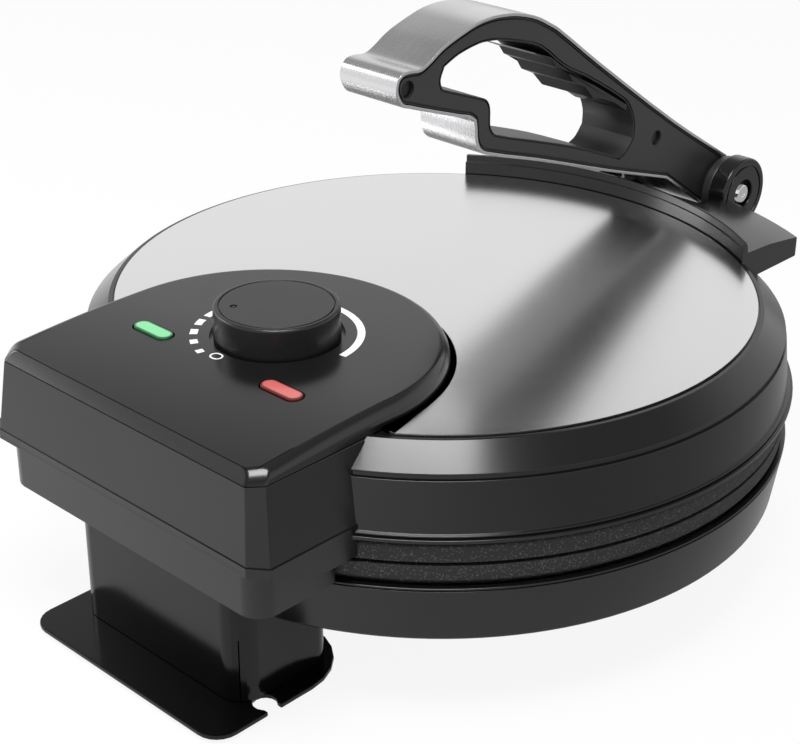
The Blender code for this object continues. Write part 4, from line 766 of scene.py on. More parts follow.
@dataclass
class Base:
    """The fixed lower half: its housing and the lower hot plate."""

    rim: float = 0.1334
    foot: float = 0.1306
    bottom: float = -0.0701
    top: float = -0.0483
    lip: float = 0.0007
    groove: float = 0.0005
    wall: float = 0.0025
    plate: float = 0.1318
    plate_top: float = -0.0406
    plate_rim: float = 0.0060
    plate_skirt: float = 0.0026
    plate_step: float = 0.0034
    plate_channel: Pair = (0.0128, 0.0180)

    def housing(self) -> bmesh.types.BMesh:
        """Turns the bowl-shaped housing with its lipped rim."""
        low, high = above(self.bottom), above(self.top)
        inner = self.rim - self.wall
        slope = (self.rim - self.foot) * self.lip / (self.top - self.bottom)
        side = self.rim - slope
        corners = [
            (0.0, low, 0.0), (self.foot - 0.0002, low, 0.0016),
            (side, high - self.lip - self.groove, 0.0002),
            (side - self.groove, high - self.lip - self.groove, 0.0),
            (side - self.groove, high - self.lip, 0.0),
            (side, high - self.lip, 0.0003), (self.rim, high, 0.0004), (inner, high, 0.0004),
            (inner, high - 4 * self.wall, 0.0), (0.0, high - 4 * self.wall, 0.0)]
        return turned(rounded(corners, closed=False))

    def hot_plate(self, face: float, side: float) -> bmesh.types.BMesh:
        """Turns a hot plate.

        Args:
            face: height of its cooking face from the steel cover's top.
            side: -1 where the plate is below its face, or 1 where it is above.
        """
        z, back = above(face), above(face) + side * self.plate_rim
        skirt = back + side * self.plate_skirt
        inset = self.plate - self.plate_step
        corners = [(0.0, z, 0.0), (self.plate, z, 0.0004), (self.plate, back, 0.0016),
                   (inset, back + side * self.plate_skirt / 2, 0.0008), (inset, skirt, 0.0),
                   (self.plate - self.plate_channel[0], skirt, 0.0),
                   (self.plate - self.plate_channel[1], back, 0.0), (0.0, back, 0.0)]
        return turned(rounded(corners, closed=False))

    def build(self, palette: Palette) -> None:
        """Builds the base's visible pieces."""
        publish("base_bowl", self.housing(), palette.housing, Body.BASE, ["base_housing"])
        publish("lower_griddle", self.hot_plate(self.plate_top, -1.0), palette.plate, Body.BASE,
                ["lower_hot_plate"])


@dataclass
class Stand:
    """The rear housing, the leg under it, the foot plate and the feet."""

    edge: float = 0.0004
    foot_edge: float = 0.0006

    def build(self, palette: Palette) -> None:
        """Builds the stand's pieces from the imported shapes, with their edges rounded."""
        publish("rear_box", copied("rear_housing", self.edge), palette.rear, Body.BASE, ["rear_housing"])
        publish("leg_column", copied("rear_leg"), palette.stand, Body.BASE, ["rear_leg"])
        publish("foot_sheet", copied("foot_plate", self.foot_edge), palette.stand, Body.BASE, ["foot_plate"])
        for side in ("left", "right"):
            node = f"front_foot_{side}"
            publish(f"front_post_{side}", copied(node, self.foot_edge), palette.stand, Body.BASE, [node])
            for place in ("front", "rear"):
                name = f"{place}_foot_pad_{side}"
                publish(f"{place}_pad_{side}", copied(name, self.edge), palette.rubber, Body.BASE, [name])


@dataclass
class Lid:
    """The lid: its ring, the control box, the front wall and shelf, the cover and the upper plate."""

    steel: float = 0.1189
    steel_thick: float = 0.0010
    cover_gap: float = 0.0007
    cover_corner: float = 0.0022
    seat_thick: float = 0.0022
    seat_width: float = 0.0054
    ring: float = 0.1212
    ring_top: float = -0.0007
    score: float = 0.0008
    shoulder: float = 0.1300
    shoulder_top: float = -0.0086
    wall: float = 0.1321
    bead: float = 0.1342
    bead_top: float = -0.0289
    bead_step: float = 0.0011
    bead_score: float = 0.0016
    bottom: float = -0.0312
    thick: float = 0.0032
    ledge: float = 0.1225
    box_half: float = 0.0706
    box_rear: float = 0.1534
    box_front: float = 0.0980
    box_facet: Pair = (0.0064, 0.0049)
    box_draft: Pair = (0.0048, 0.0033)
    box_wall: float = 0.0026
    box_sill: float = 0.0006
    box_ease: float = 0.0007
    skirt: float = 0.0074
    skirt_length: float = 0.0225
    cut_y: float = 0.0885
    cut_radius: float = 0.0675
    front_half: float = 0.0714
    guard: float = 0.1197
    guard_thick: float = 0.0023
    guard_lip: float = 0.0005
    guard_cap: float = 0.0007
    guard_top: float = 0.0085
    shelf: float = 0.1529
    shelf_back: float = 0.0035
    shelf_bends: Pair = (0.013, 0.024)
    shelf_front: float = 0.0000
    shelf_bottom: float = -0.0081
    shelf_corner: float = 0.0030
    shelf_apex_share: float = 1.32
    slot_half: float = 0.0275
    slot_back: float = 0.1315
    slot_floor: float = 0.0014
    ear: float = 0.0154
    arm_x: float = 0.060
    arm_half: float = 0.0019
    arm_tilt: float = math.radians(70)
    arm_eye: float = 0.0027
    arm_stalk: float = 0.0022
    arm_bore: float = 0.0015
    arm_low: float = 0.0056
    arm_high: float = 0.0170
    arm_front: float = -0.0255
    arm_back: float = -0.0145
    arm_inset: float = 0.0001

    def ring_shape(self) -> bmesh.types.BMesh:
        """Turns the ring with its chamfer, wall and double bead."""
        inner = self.wall - self.thick
        ledge = above(self.bottom) + 0.0016
        seat = above(-self.steel_thick) - GAP
        neck = above(self.shoulder_top) - self.score / 2
        corners = [
            (self.steel + self.cover_gap, above(self.ring_top), 0.0002),
            (self.ring, above(self.ring_top), 0.0004),
            (self.shoulder, above(self.shoulder_top), 0.0004), (self.shoulder - self.score, neck, 0.0),
            (self.shoulder - self.score, neck - 2 * self.score, 0.0),
            (self.shoulder + 0.0001, neck - 2 * self.score, 0.0003),
            (self.wall, above(self.bead_top) + 0.0004, 0.0003),
            (self.bead - self.bead_step, above(self.bead_top), 0.0002),
            (self.bead - self.bead_step, above(self.bead_top) - 0.0004, 0.0),
            (self.bead - self.bead_score, above(self.bead_top) - 0.0005, 0.0),
            (self.bead - self.bead_score, above(self.bead_top) - 0.0008, 0.0),
            (self.bead, above(self.bead_top) - 0.0010, 0.0003),
            (self.bead, above(self.bottom), 0.0004),
            (inner, above(self.bottom), 0.0003), (inner, ledge, 0.0), (self.ledge, ledge, 0.0),
            (self.ledge, ledge + 0.0025, 0.0), (inner - 0.0005, ledge + 0.0025, 0.0),
            (self.shoulder - self.thick, above(self.shoulder_top) - self.thick / 2, 0.0),
            (self.steel, seat - self.seat_thick, 0.0),
            (self.steel - self.seat_width, seat - self.seat_thick, 0.0),
            (self.steel - self.seat_width, seat, 0.0), (self.steel + self.cover_gap, seat, 0.0)]
        return turned(rounded(corners), closed=True)

    def box_outline(self, shrink: float, high: bool, ease: float) -> list[Pair]:
        """The control box's outline.

        Args:
            shrink: how far it lies inside the outer side.
            high: whether it is the outline at the panel's seam, which the draft narrows.
            ease: radius of its upright edges.
        """
        lean_x, lean_y = self.box_draft if high else (0.0, 0.0)
        half, rear = self.box_half - shrink - lean_x, self.box_rear - shrink - lean_y
        front = self.box_front - (0.006 if shrink else 0.0)
        facet_x = self.box_facet[0] - (0.0021 if high else 0.0)
        corners = [(half, front, 0.0), (half, rear - self.box_facet[1], ease), (half - facet_x, rear, ease),
                   (-half + facet_x, rear, ease), (-half, rear - self.box_facet[1], ease), (-half, front, 0.0)]
        return rounded(corners)

    def control_box(self) -> bmesh.types.BMesh:
        """Builds the outside of the control box, with its side skirts."""
        sill, top = above(self.bottom) + self.box_sill, above(self.ring_top) - GAP
        low, high = self.box_outline(0.0, False, self.box_ease), self.box_outline(0.0, True, self.box_ease)
        box = prism([low], sill, top, top=high, ease=GAP)
        skirt = prism([low], sill - self.skirt, sill + self.skirt / 2)
        slope = Matrix.Rotation(math.atan2(self.skirt, self.skirt_length), 3, "X")
        under = block((-1.0, 1.0), (-1.0, 1.0), (-1.0, 0.0))
        bmesh.ops.rotate(under, verts=under.verts, matrix=slope)
        skirt = combined(skirt, moved(under, y=self.box_rear - self.box_facet[1], z=sill))
        box = combined(box, skirt, Join.ADD)
        deep, inside = sill - 3 * self.skirt, self.thick / 2
        plate_space = turned([(0.0, deep), (self.wall + GAP, deep), (self.wall + GAP, above(self.bottom)),
                              (self.wall - inside, above(self.bottom)),
                              (self.shoulder - inside, above(self.shoulder_top)),
                              (self.ring - inside, top + OVERRUN),
                              (0.0, top + OVERRUN)])
        return combined(box, plate_space)

    def front(self) -> bmesh.types.BMesh:
        """Builds the front wall with its shelf and the lever's slot."""
        outer = self.guard + self.guard_thick
        corners = [
            (self.guard, above(0.0052), 0.0), (self.guard + self.guard_lip, above(0.0055), 0.0),
            (self.guard + self.guard_lip, above(self.guard_top), 0.0004),
            (outer - self.guard_cap, above(self.guard_top), 0.0003),
            (outer - self.guard_cap, above(self.guard_top) - 0.0011, 0.0),
            (outer, above(self.guard_top) - 0.0013, 0.0003), (outer + 0.0006, above(self.shelf_back), 0.0008),
            (outer + self.shelf_bends[0], above(self.shelf_back - 0.0008), 0.0),
            (outer + self.shelf_bends[1], above(self.shelf_front + 0.0010), 0.0),
            (self.shelf, above(self.shelf_front - 0.0002), 0.0012),
            (self.shelf, above(self.shelf_bottom), 0.0008),
            (self.shoulder - 0.0016, above(self.shelf_bottom), 0.0),
            (self.guard + 0.0008, above(-0.0018), 0.0), (self.guard, above(-0.0012), 0.0)]
        shape = turned(rounded(corners), closed=True)
        corner_y = -math.sqrt(self.shelf ** 2 - self.front_half ** 2)
        half, apex = self.front_half, -self.shelf * self.shelf_apex_share
        keep = rounded([(-half, -half, 0.0), (-half, corner_y, self.shelf_corner), (0.0, apex, 0.0),
                        (half, corner_y, self.shelf_corner), (half, -half, 0.0)])
        shape = combined(shape, prism([keep], above(-0.03), above(0.03)), Join.CROSS)
        slot = block((-self.slot_half, self.slot_half), (-self.shelf - OVERRUN, -self.slot_back),
                     (above(self.shelf_bottom) + self.slot_floor, above(0.02)))
        shape = combined(shape, slot)
        ear_space = rod(self.ear + GAP, -self.slot_half, self.slot_half)
        return combined(shape, lying(ear_space, DATUM.pivot))

    def hinge_arms(self) -> list[bmesh.types.BMesh]:
        """Copies of the two hinge arms' outline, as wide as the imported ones."""
        along = Vector((-math.sin(self.arm_tilt), math.cos(self.arm_tilt)))
        down = Vector((-along.y, along.x))
        start = math.atan2(down.y, down.x)
        upper = along * (self.arm_back - self.arm_stalk * down.x) / along.x - down * self.arm_stalk
        lower = along * (self.arm_low - self.arm_stalk * down.y) / along.y + down * self.arm_stalk
        outline = arc((0.0, 0.0), self.arm_eye, start, start + math.pi, SMALL_STEPS // 4)
        outline += [tuple(upper), (self.arm_back, self.arm_high), (self.arm_front, self.arm_high),
                    (self.arm_front, self.arm_low), tuple(lower)]
        outline = [(DATUM.hinge.y + y, DATUM.hinge.z + z) for y, z in outline]
        root_y = (DATUM.hinge.y + self.arm_front + self.arm_inset,
                  DATUM.hinge.y + self.arm_back - self.arm_inset)
        root_z = (DATUM.hinge.z + self.arm_low + GAP, DATUM.hinge.z + self.arm_high - self.arm_inset)
        arms = []
        for side in (-1.0, 1.0):
            middle = side * self.arm_x
            arm = prism([outline], middle - self.arm_half, middle + self.arm_half, Axis.X)
            ends = sorted((middle, side * (self.box_half - self.box_wall / 2 - self.box_draft[0] / 2)))
            root = block((ends[0], ends[1]), root_y, root_z)
            bore = rod(self.arm_bore, -OVERRUN, OVERRUN, SMALL_STEPS // 2)
            bore = lying(bore, DATUM.hinge + Vector((middle, 0.0, 0.0)))
            arms.append(combined(combined(arm, root, Join.ADD), bore))
        return arms

    def housing(self) -> bmesh.types.BMesh:
        """Joins the ring, the control box, the hinge arms and the front into one moulding."""
        sill, top = above(self.bottom) + self.box_sill, above(self.ring_top) - GAP
        shape = combined(self.ring_shape(), self.control_box(), Join.ADD)
        low, high = self.box_outline(self.box_wall, False, 0.0), self.box_outline(self.box_wall, True, 0.0)
        shape = combined(shape, prism([low], sill, top, top=high))
        shape = combined(shape, prism([low], sill - 2 * self.skirt, sill + 0.00001))
        shape = combined(shape, prism([high], top - 0.00001, top + OVERRUN))
        for arm in self.hinge_arms():
            shape = combined(shape, arm, Join.ADD)
        return combined(shape, self.front(), Join.ADD)

    def cover(self) -> bmesh.types.BMesh:
        """Builds the steel cover, a disc with a round bay for the control panel."""
        turn = math.asin(self.cut_radius / self.steel)
        rim = arc((0.0, 0.0), self.steel, math.pi / 2 + turn, 5 * math.pi / 2 - turn, ROUND_STEPS)
        bay = arc((0.0, self.cut_y), self.cut_radius, 0.0, -math.pi, SMALL_STEPS)
        ends = (0, len(rim) - 1)
        corners = [(x, y, self.cover_corner if index in ends else 0.0)
                   for index, (x, y) in enumerate(rim + bay)]
        return prism([rounded(corners)], above(-self.steel_thick), above(0.0), ease=0.0004)

    def build(self, palette: Palette, base: Base) -> None:
        """Builds the lid's pieces."""
        publish("lid_moulding", self.housing(), palette.housing, Body.LID, ["lid_housing"], crease=28.0)
        publish("cover_disc", self.cover(), palette.disc, Body.LID, ["steel_cover"])
        publish("upper_griddle", base.hot_plate(base.plate_top + 0.0012, 1.0), palette.plate, Body.LID,
                ["upper_hot_plate"])


@dataclass
class ControlPanel:
    """The D-shaped panel with the knob's recess, the lamps and the printed dial."""

    top: float = 0.0062
    crown_y: float = 0.0880
    fall: float = 0.86
    seam: float = -0.0007
    nose_y: float = 0.0880
    nose: float = 0.0652
    half: float = 0.0658
    rear: float = 0.1501
    facet: Pair = (0.0043, 0.0048)
    roll: float = 0.0042
    rear_roll: float = 0.0030
    roll_steps: int = 8
    stations: int = 16
    shaft_hole: float = 0.0033
    facet_ease: float = 0.0022
    lens_ease: float = 0.0006
    wall: float = 0.0045
    groove: float = 0.00035
    groove_start: float = 0.1300
    groove_corner: float = 0.0030
    recess: float = 0.0234
    recess_depth: float = 0.0016
    lamp_x: float = 0.0325
    lamp_y: float = 0.1080
    lens: Pair = (0.0176, 0.0066)
    lens_gap: float = 0.0006
    lens_top: float = 0.0065
    lens_height: float = 0.0053
    dial: float = 0.0302
    dial_width: float = 0.0027
    print_height: float = 0.00008
    dash_first: float = 17.6
    dash_pitch: float = 15.4
    dash_short: float = 4.6
    dash_growth: float = 1.5
    dashes: int = 6
    arc_span: Pair = (106.0, 264.0)
    nought_outer: Pair = (0.0050, 0.0042)
    nought_inner: Pair = (0.0038, 0.0030)
    nought_place: Pair = (0.0017, 0.0262)

    def level(self, y: float) -> float:
        """Height of the panel's top from the steel cover's top, which falls in a curve behind the knob."""
        return self.top - self.fall * max(y - self.crown_y, 0.0) ** 2

    def outline(self, inset: float = 0.0, rear_inset: Optional[float] = None) -> list[Pair]:
        """The panel's outline, perhaps moved inward."""
        half, rear = self.half - inset, self.rear - (inset if rear_inset is None else rear_inset)
        nose = arc((0.0, self.nose_y), self.nose - inset, -math.pi / 2, 0.0, SMALL_STEPS)
        right = rounded([(nose[-1][0], nose[-1][1], 0.0), (half, rear - self.facet[1], self.facet_ease),
                         (half - self.facet[0], rear, self.facet_ease), (0.0, rear, 0.0)], closed=False)[1:-1]
        right = nose[1:] + right
        return [nose[0]] + right + [(-x, y) for x, y in reversed(right)]

    def curved(self, bm: bmesh.types.BMesh, low: float, high: float) -> bmesh.types.BMesh:
        """Lets what lies between two heights fall along the panel's curve, the more the higher it is."""
        for station in range(self.stations):
            y = self.crown_y + (self.rear - self.crown_y) * station / self.stations
            bmesh.ops.bisect_plane(bm, geom=bm.verts[:] + bm.edges[:] + bm.faces[:], dist=WELD,
                                   plane_co=(0.0, y, 0.0), plane_no=(0.0, 1.0, 0.0))
        for vert in bm.verts:
            share = min(max((vert.co.z - low) / (high - low), 0.0), 1.0)
            vert.co.z -= share * (self.top - self.level(vert.co.y))
        return bm

    def shape(self) -> bmesh.types.BMesh:
        """Builds the panel with its rolled edge, recess, lamp openings and rear groove."""
        seam, top = above(self.seam), above(self.top)
        rings = []
        for step in range(self.roll_steps + 1):
            turn = math.pi / 2 * step / self.roll_steps
            inset, rise = 1 - math.cos(turn), math.sin(turn)
            rings.append([(x, y, seam + (top - seam) * rise)
                          for x, y in self.outline(inset * self.roll, rise * self.rear_roll)])
        body = self.curved(lofted(rings), seam, top)
        inner = prism([self.outline(self.wall)], seam - OVERRUN, top - self.wall / 2)
        body = combined(body, self.curved(inner, seam - OVERRUN, top - self.wall / 2))
        floor, past = top - self.recess_depth, top + OVERRUN
        recess = turned(rounded([(0.0, floor, 0.0), (self.recess, floor, 0.0003), (self.recess, past, 0.0),
                                 (0.0, past, 0.0)], closed=False))
        body = combined(body, moved(recess, y=DATUM.knob_y))
        body = combined(body, moved(rod(self.shaft_hole, seam, top), y=DATUM.knob_y))
        for side in (-1.0, 1.0):
            slot = obround((side * self.lamp_x, self.lamp_y), self.lens[0] + 2 * self.lens_gap,
                           self.lens[1] + 2 * self.lens_gap)
            body = combined(body, prism([slot], seam, top + OVERRUN))
        return combined(body, self.rear_groove())

    def rear_groove(self) -> bmesh.types.BMesh:
        """Builds the cutter of the fine groove that runs along the rear edge and round its corners."""
        half, rear = self.half - self.roll, self.rear - self.rear_roll
        lines = []
        for shift in (0.0, self.groove):
            side, back, corner = half - shift, rear - shift, self.groove_corner - shift
            lines.append(rounded([(side, self.groove_start, 0.0), (side, back, corner), (-side, back, corner),
                                  (-side, self.groove_start, 0.0)], closed=False))
        cutter = prism([lines[0] + lines[1][::-1]], above(self.top) - self.groove, above(self.top) + OVERRUN)
        for vert in cutter.verts:
            vert.co.z -= self.top - self.level(vert.co.y)
        return cutter

    def lens_shape(self, side: float) -> bmesh.types.BMesh:
        """Builds a lamp lens with a rounded top."""
        outline = obround((side * self.lamp_x, self.lamp_y), *self.lens)
        low, high = above(self.lens_top - self.lens_height), above(self.lens_top)
        return prism([outline], low, high, ease=self.lens_ease)

    def sector(self, outer: float, width: float, start: float, end: float) -> bmesh.types.BMesh:
        """A thin printed sector of the dial, between two angles clockwise from the rear."""
        steps = max(2, round((end - start) / 4))
        first, last = math.radians(90 - start), math.radians(90 - end)
        centre = (0.0, DATUM.knob_y)
        outline = arc(centre, outer, first, last, steps) + arc(centre, outer - width, last, first, steps)
        return self.printed(prism([outline], 0.0, self.print_height))

    def printed(self, mark: bmesh.types.BMesh) -> bmesh.types.BMesh:
        """Lays a flat mark on the panel's top."""
        for vert in mark.verts:
            vert.co.z += above(self.level(vert.co.y)) - self.print_height / 4
        return mark

    def dial_marks(self) -> bmesh.types.BMesh:
        """Builds the printed marks: a nought, growing dashes and a solid arc."""
        marks = []
        for index in range(self.dashes):
            centre = self.dash_first + self.dash_pitch * index
            length = self.dash_short + self.dash_growth * index
            marks.append(self.sector(self.dial, self.dial_width, centre - length / 2, centre + length / 2))
        marks.append(self.sector(self.dial, self.dial_width, *self.arc_span))
        rims = [obround((0.0, 0.0), *size) for size in (self.nought_outer, self.nought_inner)]
        x, y = self.nought_place
        marks.append(self.printed(moved(prism(rims, 0.0, self.print_height), x, DATUM.knob_y + y)))
        whole = bmesh.new()
        for mark in marks:
            mesh = bpy.data.meshes.new("mark")
            mark.to_mesh(mesh)
            mark.free()
            whole.from_mesh(mesh)
            bpy.data.meshes.remove(mesh)
        bmesh.ops.recalc_face_normals(whole, faces=whole.faces)
        return whole

    def build(self, palette: Palette) -> None:
        """Builds the panel's pieces."""
        publish("panel_face", self.shape(), palette.panel, Body.LID, ["control_panel"], crease=25.0)
        # Each lens's near-black rim colour is painted shade at its edge.
        ready = Lens("green_lens", (0.16, 0.60, 0.26), 0.30, rim=(0.008, 0.10, 0.030), centre_x=self.lamp_x)
        power = Lens("red_lens", (0.56, 0.12, 0.11), 0.30, rim=(0.10, 0.004, 0.004), centre_x=-self.lamp_x)
        publish("ready_lens_cap", self.lens_shape(1.0), ready.material(), Body.LID, ["ready_lens"])
        publish("power_lens_cap", self.lens_shape(-1.0), power.material(), Body.LID, ["power_lens"])
        publish("dial_print", self.dial_marks(), palette.print, Body.LID, crease=60.0)


@dataclass
class Knob:
    """The thermostat's knob."""

    radius: float = 0.0219
    low: float = 0.0047
    high: float = 0.0173
    groove: float = 0.0199
    groove_half: float = 0.00025
    dimple: float = 0.0013
    dimple_offset: float = 0.0147
    dimple_angle: float = math.radians(37.6)
    dimple_depth: float = 0.0007
    groove_depth: float = 0.0006
    shaft: float = 0.0031
    shaft_depth: float = 0.008

    def build(self, palette: Palette) -> None:
        """Builds the knob with the groove and the dimple on its top."""
        low, high = above(self.low), above(self.high)
        groove_in, groove_out = self.groove - self.groove_half, self.groove + self.groove_half
        corners = [(0.0, high, 0.0), (groove_in, high, 0.0002),
                   (self.groove - self.groove_half / 2, high - self.groove_depth, 0.0),
                   (self.groove + self.groove_half / 2, high - self.groove_depth, 0.0),
                   (groove_out, high, 0.0002), (self.radius, high, 0.0010),
                   (self.radius + 0.0001, low, 0.0003), (self.shaft, low, 0.0),
                   (self.shaft, low + self.shaft_depth, 0.0), (0.0, low + self.shaft_depth, 0.0)]
        shape = turned(rounded(corners, closed=False, steps=6))
        floor, lip = high - self.dimple_depth, high + 0.001
        pit = turned(rounded([(0.0, floor, 0.0), (self.dimple, floor, 0.0004), (self.dimple, lip, 0.0),
                              (0.0, lip, 0.0)], closed=False), steps=SMALL_STEPS)
        across, along = math.sin(self.dimple_angle), math.cos(self.dimple_angle)
        moved(pit, self.dimple_offset * across, self.dimple_offset * along)
        publish("knob_cap", moved(combined(shape, pit), y=DATUM.knob_y), palette.knob, Body.KNOB, ["knob"])


@dataclass
class LeverBracket:
    """The two ears that hold the lever, on the plate in the shelf's slot."""

    ear: float = 0.0154
    inner: float = 0.0183
    outer: float = 0.0260
    groove: float = 0.0121
    groove_half: float = 0.0005
    groove_floor: float = 0.0003
    groove_depth: float = 0.0006
    recess: float = 0.0063
    recess_depth: float = 0.0024
    pin: float = 0.0031
    web: float = 0.0042
    plate_half: float = 0.0272
    plate_low: float = -0.0064
    plate_high: float = -0.0048
    plate_back: float = -0.1318
    plate_front: float = -0.1460
    pin_core: float = 0.0029
    pin_head: tuple[Corner, ...] = ((0.0, 0.0016, 0.0), (0.0010, 0.0017, 0.0), (0.0014, 0.0021, 0.0003),
                                    (0.0036, 0.0019, 0.0006), (0.0046, 0.0006, 0.0004), (0.0046, 0.0, 0.0))

    def ear_shape(self, side: float) -> bmesh.types.BMesh:
        """Turns an ear with its stepped face and joins its web to it."""
        face = self.outer
        corners = [(self.pin, self.inner, 0.0), (self.ear, self.inner, 0.0006), (self.ear, face, 0.0009),
                   (self.groove + self.groove_half, face, 0.0002),
                   (self.groove + self.groove_floor, face - self.groove_depth, 0.0),
                   (self.groove - self.groove_floor, face - self.groove_depth, 0.0),
                   (self.groove - self.groove_half, face, 0.0002),
                   (self.recess, face, 0.0004), (self.recess, face - self.recess_depth, 0.0),
                   (self.pin, face - self.recess_depth, 0.0)]
        ring = lying(turned(rounded(corners), closed=True, steps=HUB_STEPS), DATUM.pivot, mirror=side < 0)
        low, high = above(self.plate_low) + 0.0002, above(self.plate_low) + self.web
        reach = DATUM.pivot.y + math.sqrt(self.ear ** 2 - (DATUM.pivot.z - low) ** 2) - 0.0012
        ends = sorted((side * (self.inner + 0.0001), side * (face - 0.0001)))
        web = block((ends[0], ends[1]), (reach, self.plate_back - 0.0008), (low, high))
        return combined(ring, web, Join.ADD)

    def build(self, palette: Palette) -> None:
        """Builds the bracket and the pin's heads."""
        plate = block((-self.plate_half, self.plate_half), (self.plate_front, self.plate_back),
                      (above(self.plate_low), above(self.plate_high)))
        for side in (-1.0, 1.0):
            plate = combined(plate, self.ear_shape(side), Join.ADD)
        publish("lever_ears", plate, palette.housing, Body.LID, ["lever_bracket"])
        face = self.outer - self.recess_depth + GAP
        corners = [(radius, face + height, ease) for radius, height, ease in self.pin_head]
        corners += [(self.pin_core, face, 0.0), (self.pin_core, 0.0, 0.0), (0.0, 0.0, 0.0)]
        right = lying(turned(rounded(corners, closed=False), steps=SMALL_STEPS), DATUM.pivot)
        left = lying(turned(rounded(corners, closed=False), steps=SMALL_STEPS), DATUM.pivot, mirror=True)
        publish("pivot_rod", combined(right, left, Join.ADD), palette.bright, Body.LID, ["pivot_pin"])


@dataclass
class Lever:
    """The lever handle: its core and hub, the steel strap round it, the finger grip and the screws."""

    strap_half: float = 0.0135
    core_half: float = 0.0129
    hub: float = 0.0139
    hub_half: float = 0.0179
    neck: float = 0.0120
    pin: float = 0.0031
    ease: float = 0.0005
    score_margin: float = 0.0003
    score_width: float = 0.0006
    score_depth: float = 0.0010
    hub_step: float = 0.0004
    screw_depth: float = 0.0028
    cutter: float = 0.03
    grip_round: Pair = (0.0003, 0.0026)
    grip_back: tuple[Pair, ...] = ((-0.0372, 0.0833), (-0.0469, 0.0796), (-0.0610, 0.0695), (-0.0740, 0.0629),
                                   (-0.0856, 0.0561), (-0.0956, 0.0501))
    grip_ribs: tuple[Pair, ...] = ((-0.0950, 0.0480), (-0.0872, 0.0530), (-0.0786, 0.0567), (-0.0739, 0.0576),
                                   (-0.0679, 0.0636), (-0.0608, 0.0669), (-0.0574, 0.0717), (-0.0502, 0.0750),
                                   (-0.0473, 0.0787), (-0.0394, 0.0820))

    def core(self) -> bmesh.types.BMesh:
        """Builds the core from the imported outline, with its opening, hub and screw holes."""
        loops = side_loops("lever_core", -1.0)
        outer = flowing(loops[0])
        finger = flowing(max(loops[1:], key=lambda loop: max(y for y, _ in loop) - min(y for y, _ in loop)))
        shape = prism([outer, finger], -self.core_half, self.core_half, Axis.X)
        for facing in (-1.0, 1.0):
            flat = [face for face in shape.faces if face.normal.x * facing > 0.99]
            score_outline(shape, flat, self.score_margin, self.score_width, self.score_depth)
        side = self.strap_half + self.hub_step
        corners = [(0.0, -self.hub_half, 0.0), (self.hub, -self.hub_half, 0.0008), (self.hub, -side, 0.0006),
                   (self.neck, -side, 0.0), (self.neck, side, 0.0), (self.hub, side, 0.0006),
                   (self.hub, self.hub_half, 0.0008), (0.0, self.hub_half, 0.0)]
        hub = lying(turned(rounded(corners, closed=False), steps=HUB_STEPS), DATUM.pivot)
        shape = combined(shape, hub, Join.ADD)
        shape = combined(shape, lying(rod(self.pin, -self.cutter, self.cutter), DATUM.pivot))
        for name in ("lever_nose_screw", "lever_body_screw"):
            low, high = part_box(name)
            place = Vector((0.0, (low[1] + high[1]) / 2 - DATUM.plates_y, (low[2] + high[2]) / 2))
            radius = (high[1] - low[1]) / 2 + GAP
            floor = self.screw_depth - self.core_half
            profile = [(0.0, -self.cutter, 0.0), (radius, -self.cutter, 0.0), (radius, floor, 0.0002),
                       (0.0, floor, 0.0)]
            pocket = turned(rounded(profile, closed=False), steps=SMALL_STEPS)
            shape = combined(shape, lying(pocket, place))
        return shape

    def build(self, palette: Palette) -> None:
        """Builds the lever's pieces."""
        publish("lever_moulding", self.core(), palette.lever, Body.LEVER, ["lever_core"])
        band = prism([flowing(side_loops("lever_strap", -1.0)[0])], -self.strap_half, self.strap_half, Axis.X,
                     ease=0.00025)
        publish("lever_band", band, palette.strap, Body.LEVER, ["lever_strap"])
        back = [(y, above(z)) for y, z in self.grip_back]
        points = enumerate(self.grip_ribs)
        edge = rounded([(y, above(z), self.grip_round[index % 2]) for index, (y, z) in points], closed=False)
        ribs = prism([back + edge], -self.core_half, self.core_half, Axis.X, ease=0.0002)
        publish("grip_ribs", ribs, palette.grip, Body.LEVER, ["finger_grip"])


class InnerWorks:
    """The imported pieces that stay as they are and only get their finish."""

    @staticmethod
    def build(palette: Palette) -> None:
        """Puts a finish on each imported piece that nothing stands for."""
        finishes = {
            palette.shield: ("lower_heat_shield", "upper_heat_shield"),
            palette.element: ("lower_heating_element", "upper_heating_element"),
            palette.heat_moulding: ("terminal_block", "thermostat", "thermal_fuse", "ready_lamp", "power_lamp"),
            palette.hidden: ("panel_tray", "rear_housing_cover", "knob_shaft"),
            palette.rubber: ("cord_bush",),
            palette.bright: ("hinge_pin_left", "hinge_pin_right", "base_screw_left", "base_screw_right",
                             "base_screw_front", "bracket_screw_left", "bracket_screw_right"),
            palette.screw: ("lever_nose_screw", "lever_body_screw"),
        }
        for finish, names in finishes.items():
            for name in names:
                node = frame["nodes"][name]
                node.data.materials.clear()
                node.data.materials.append(finish)
                LOG.info("%s keeps its packed shape", name)


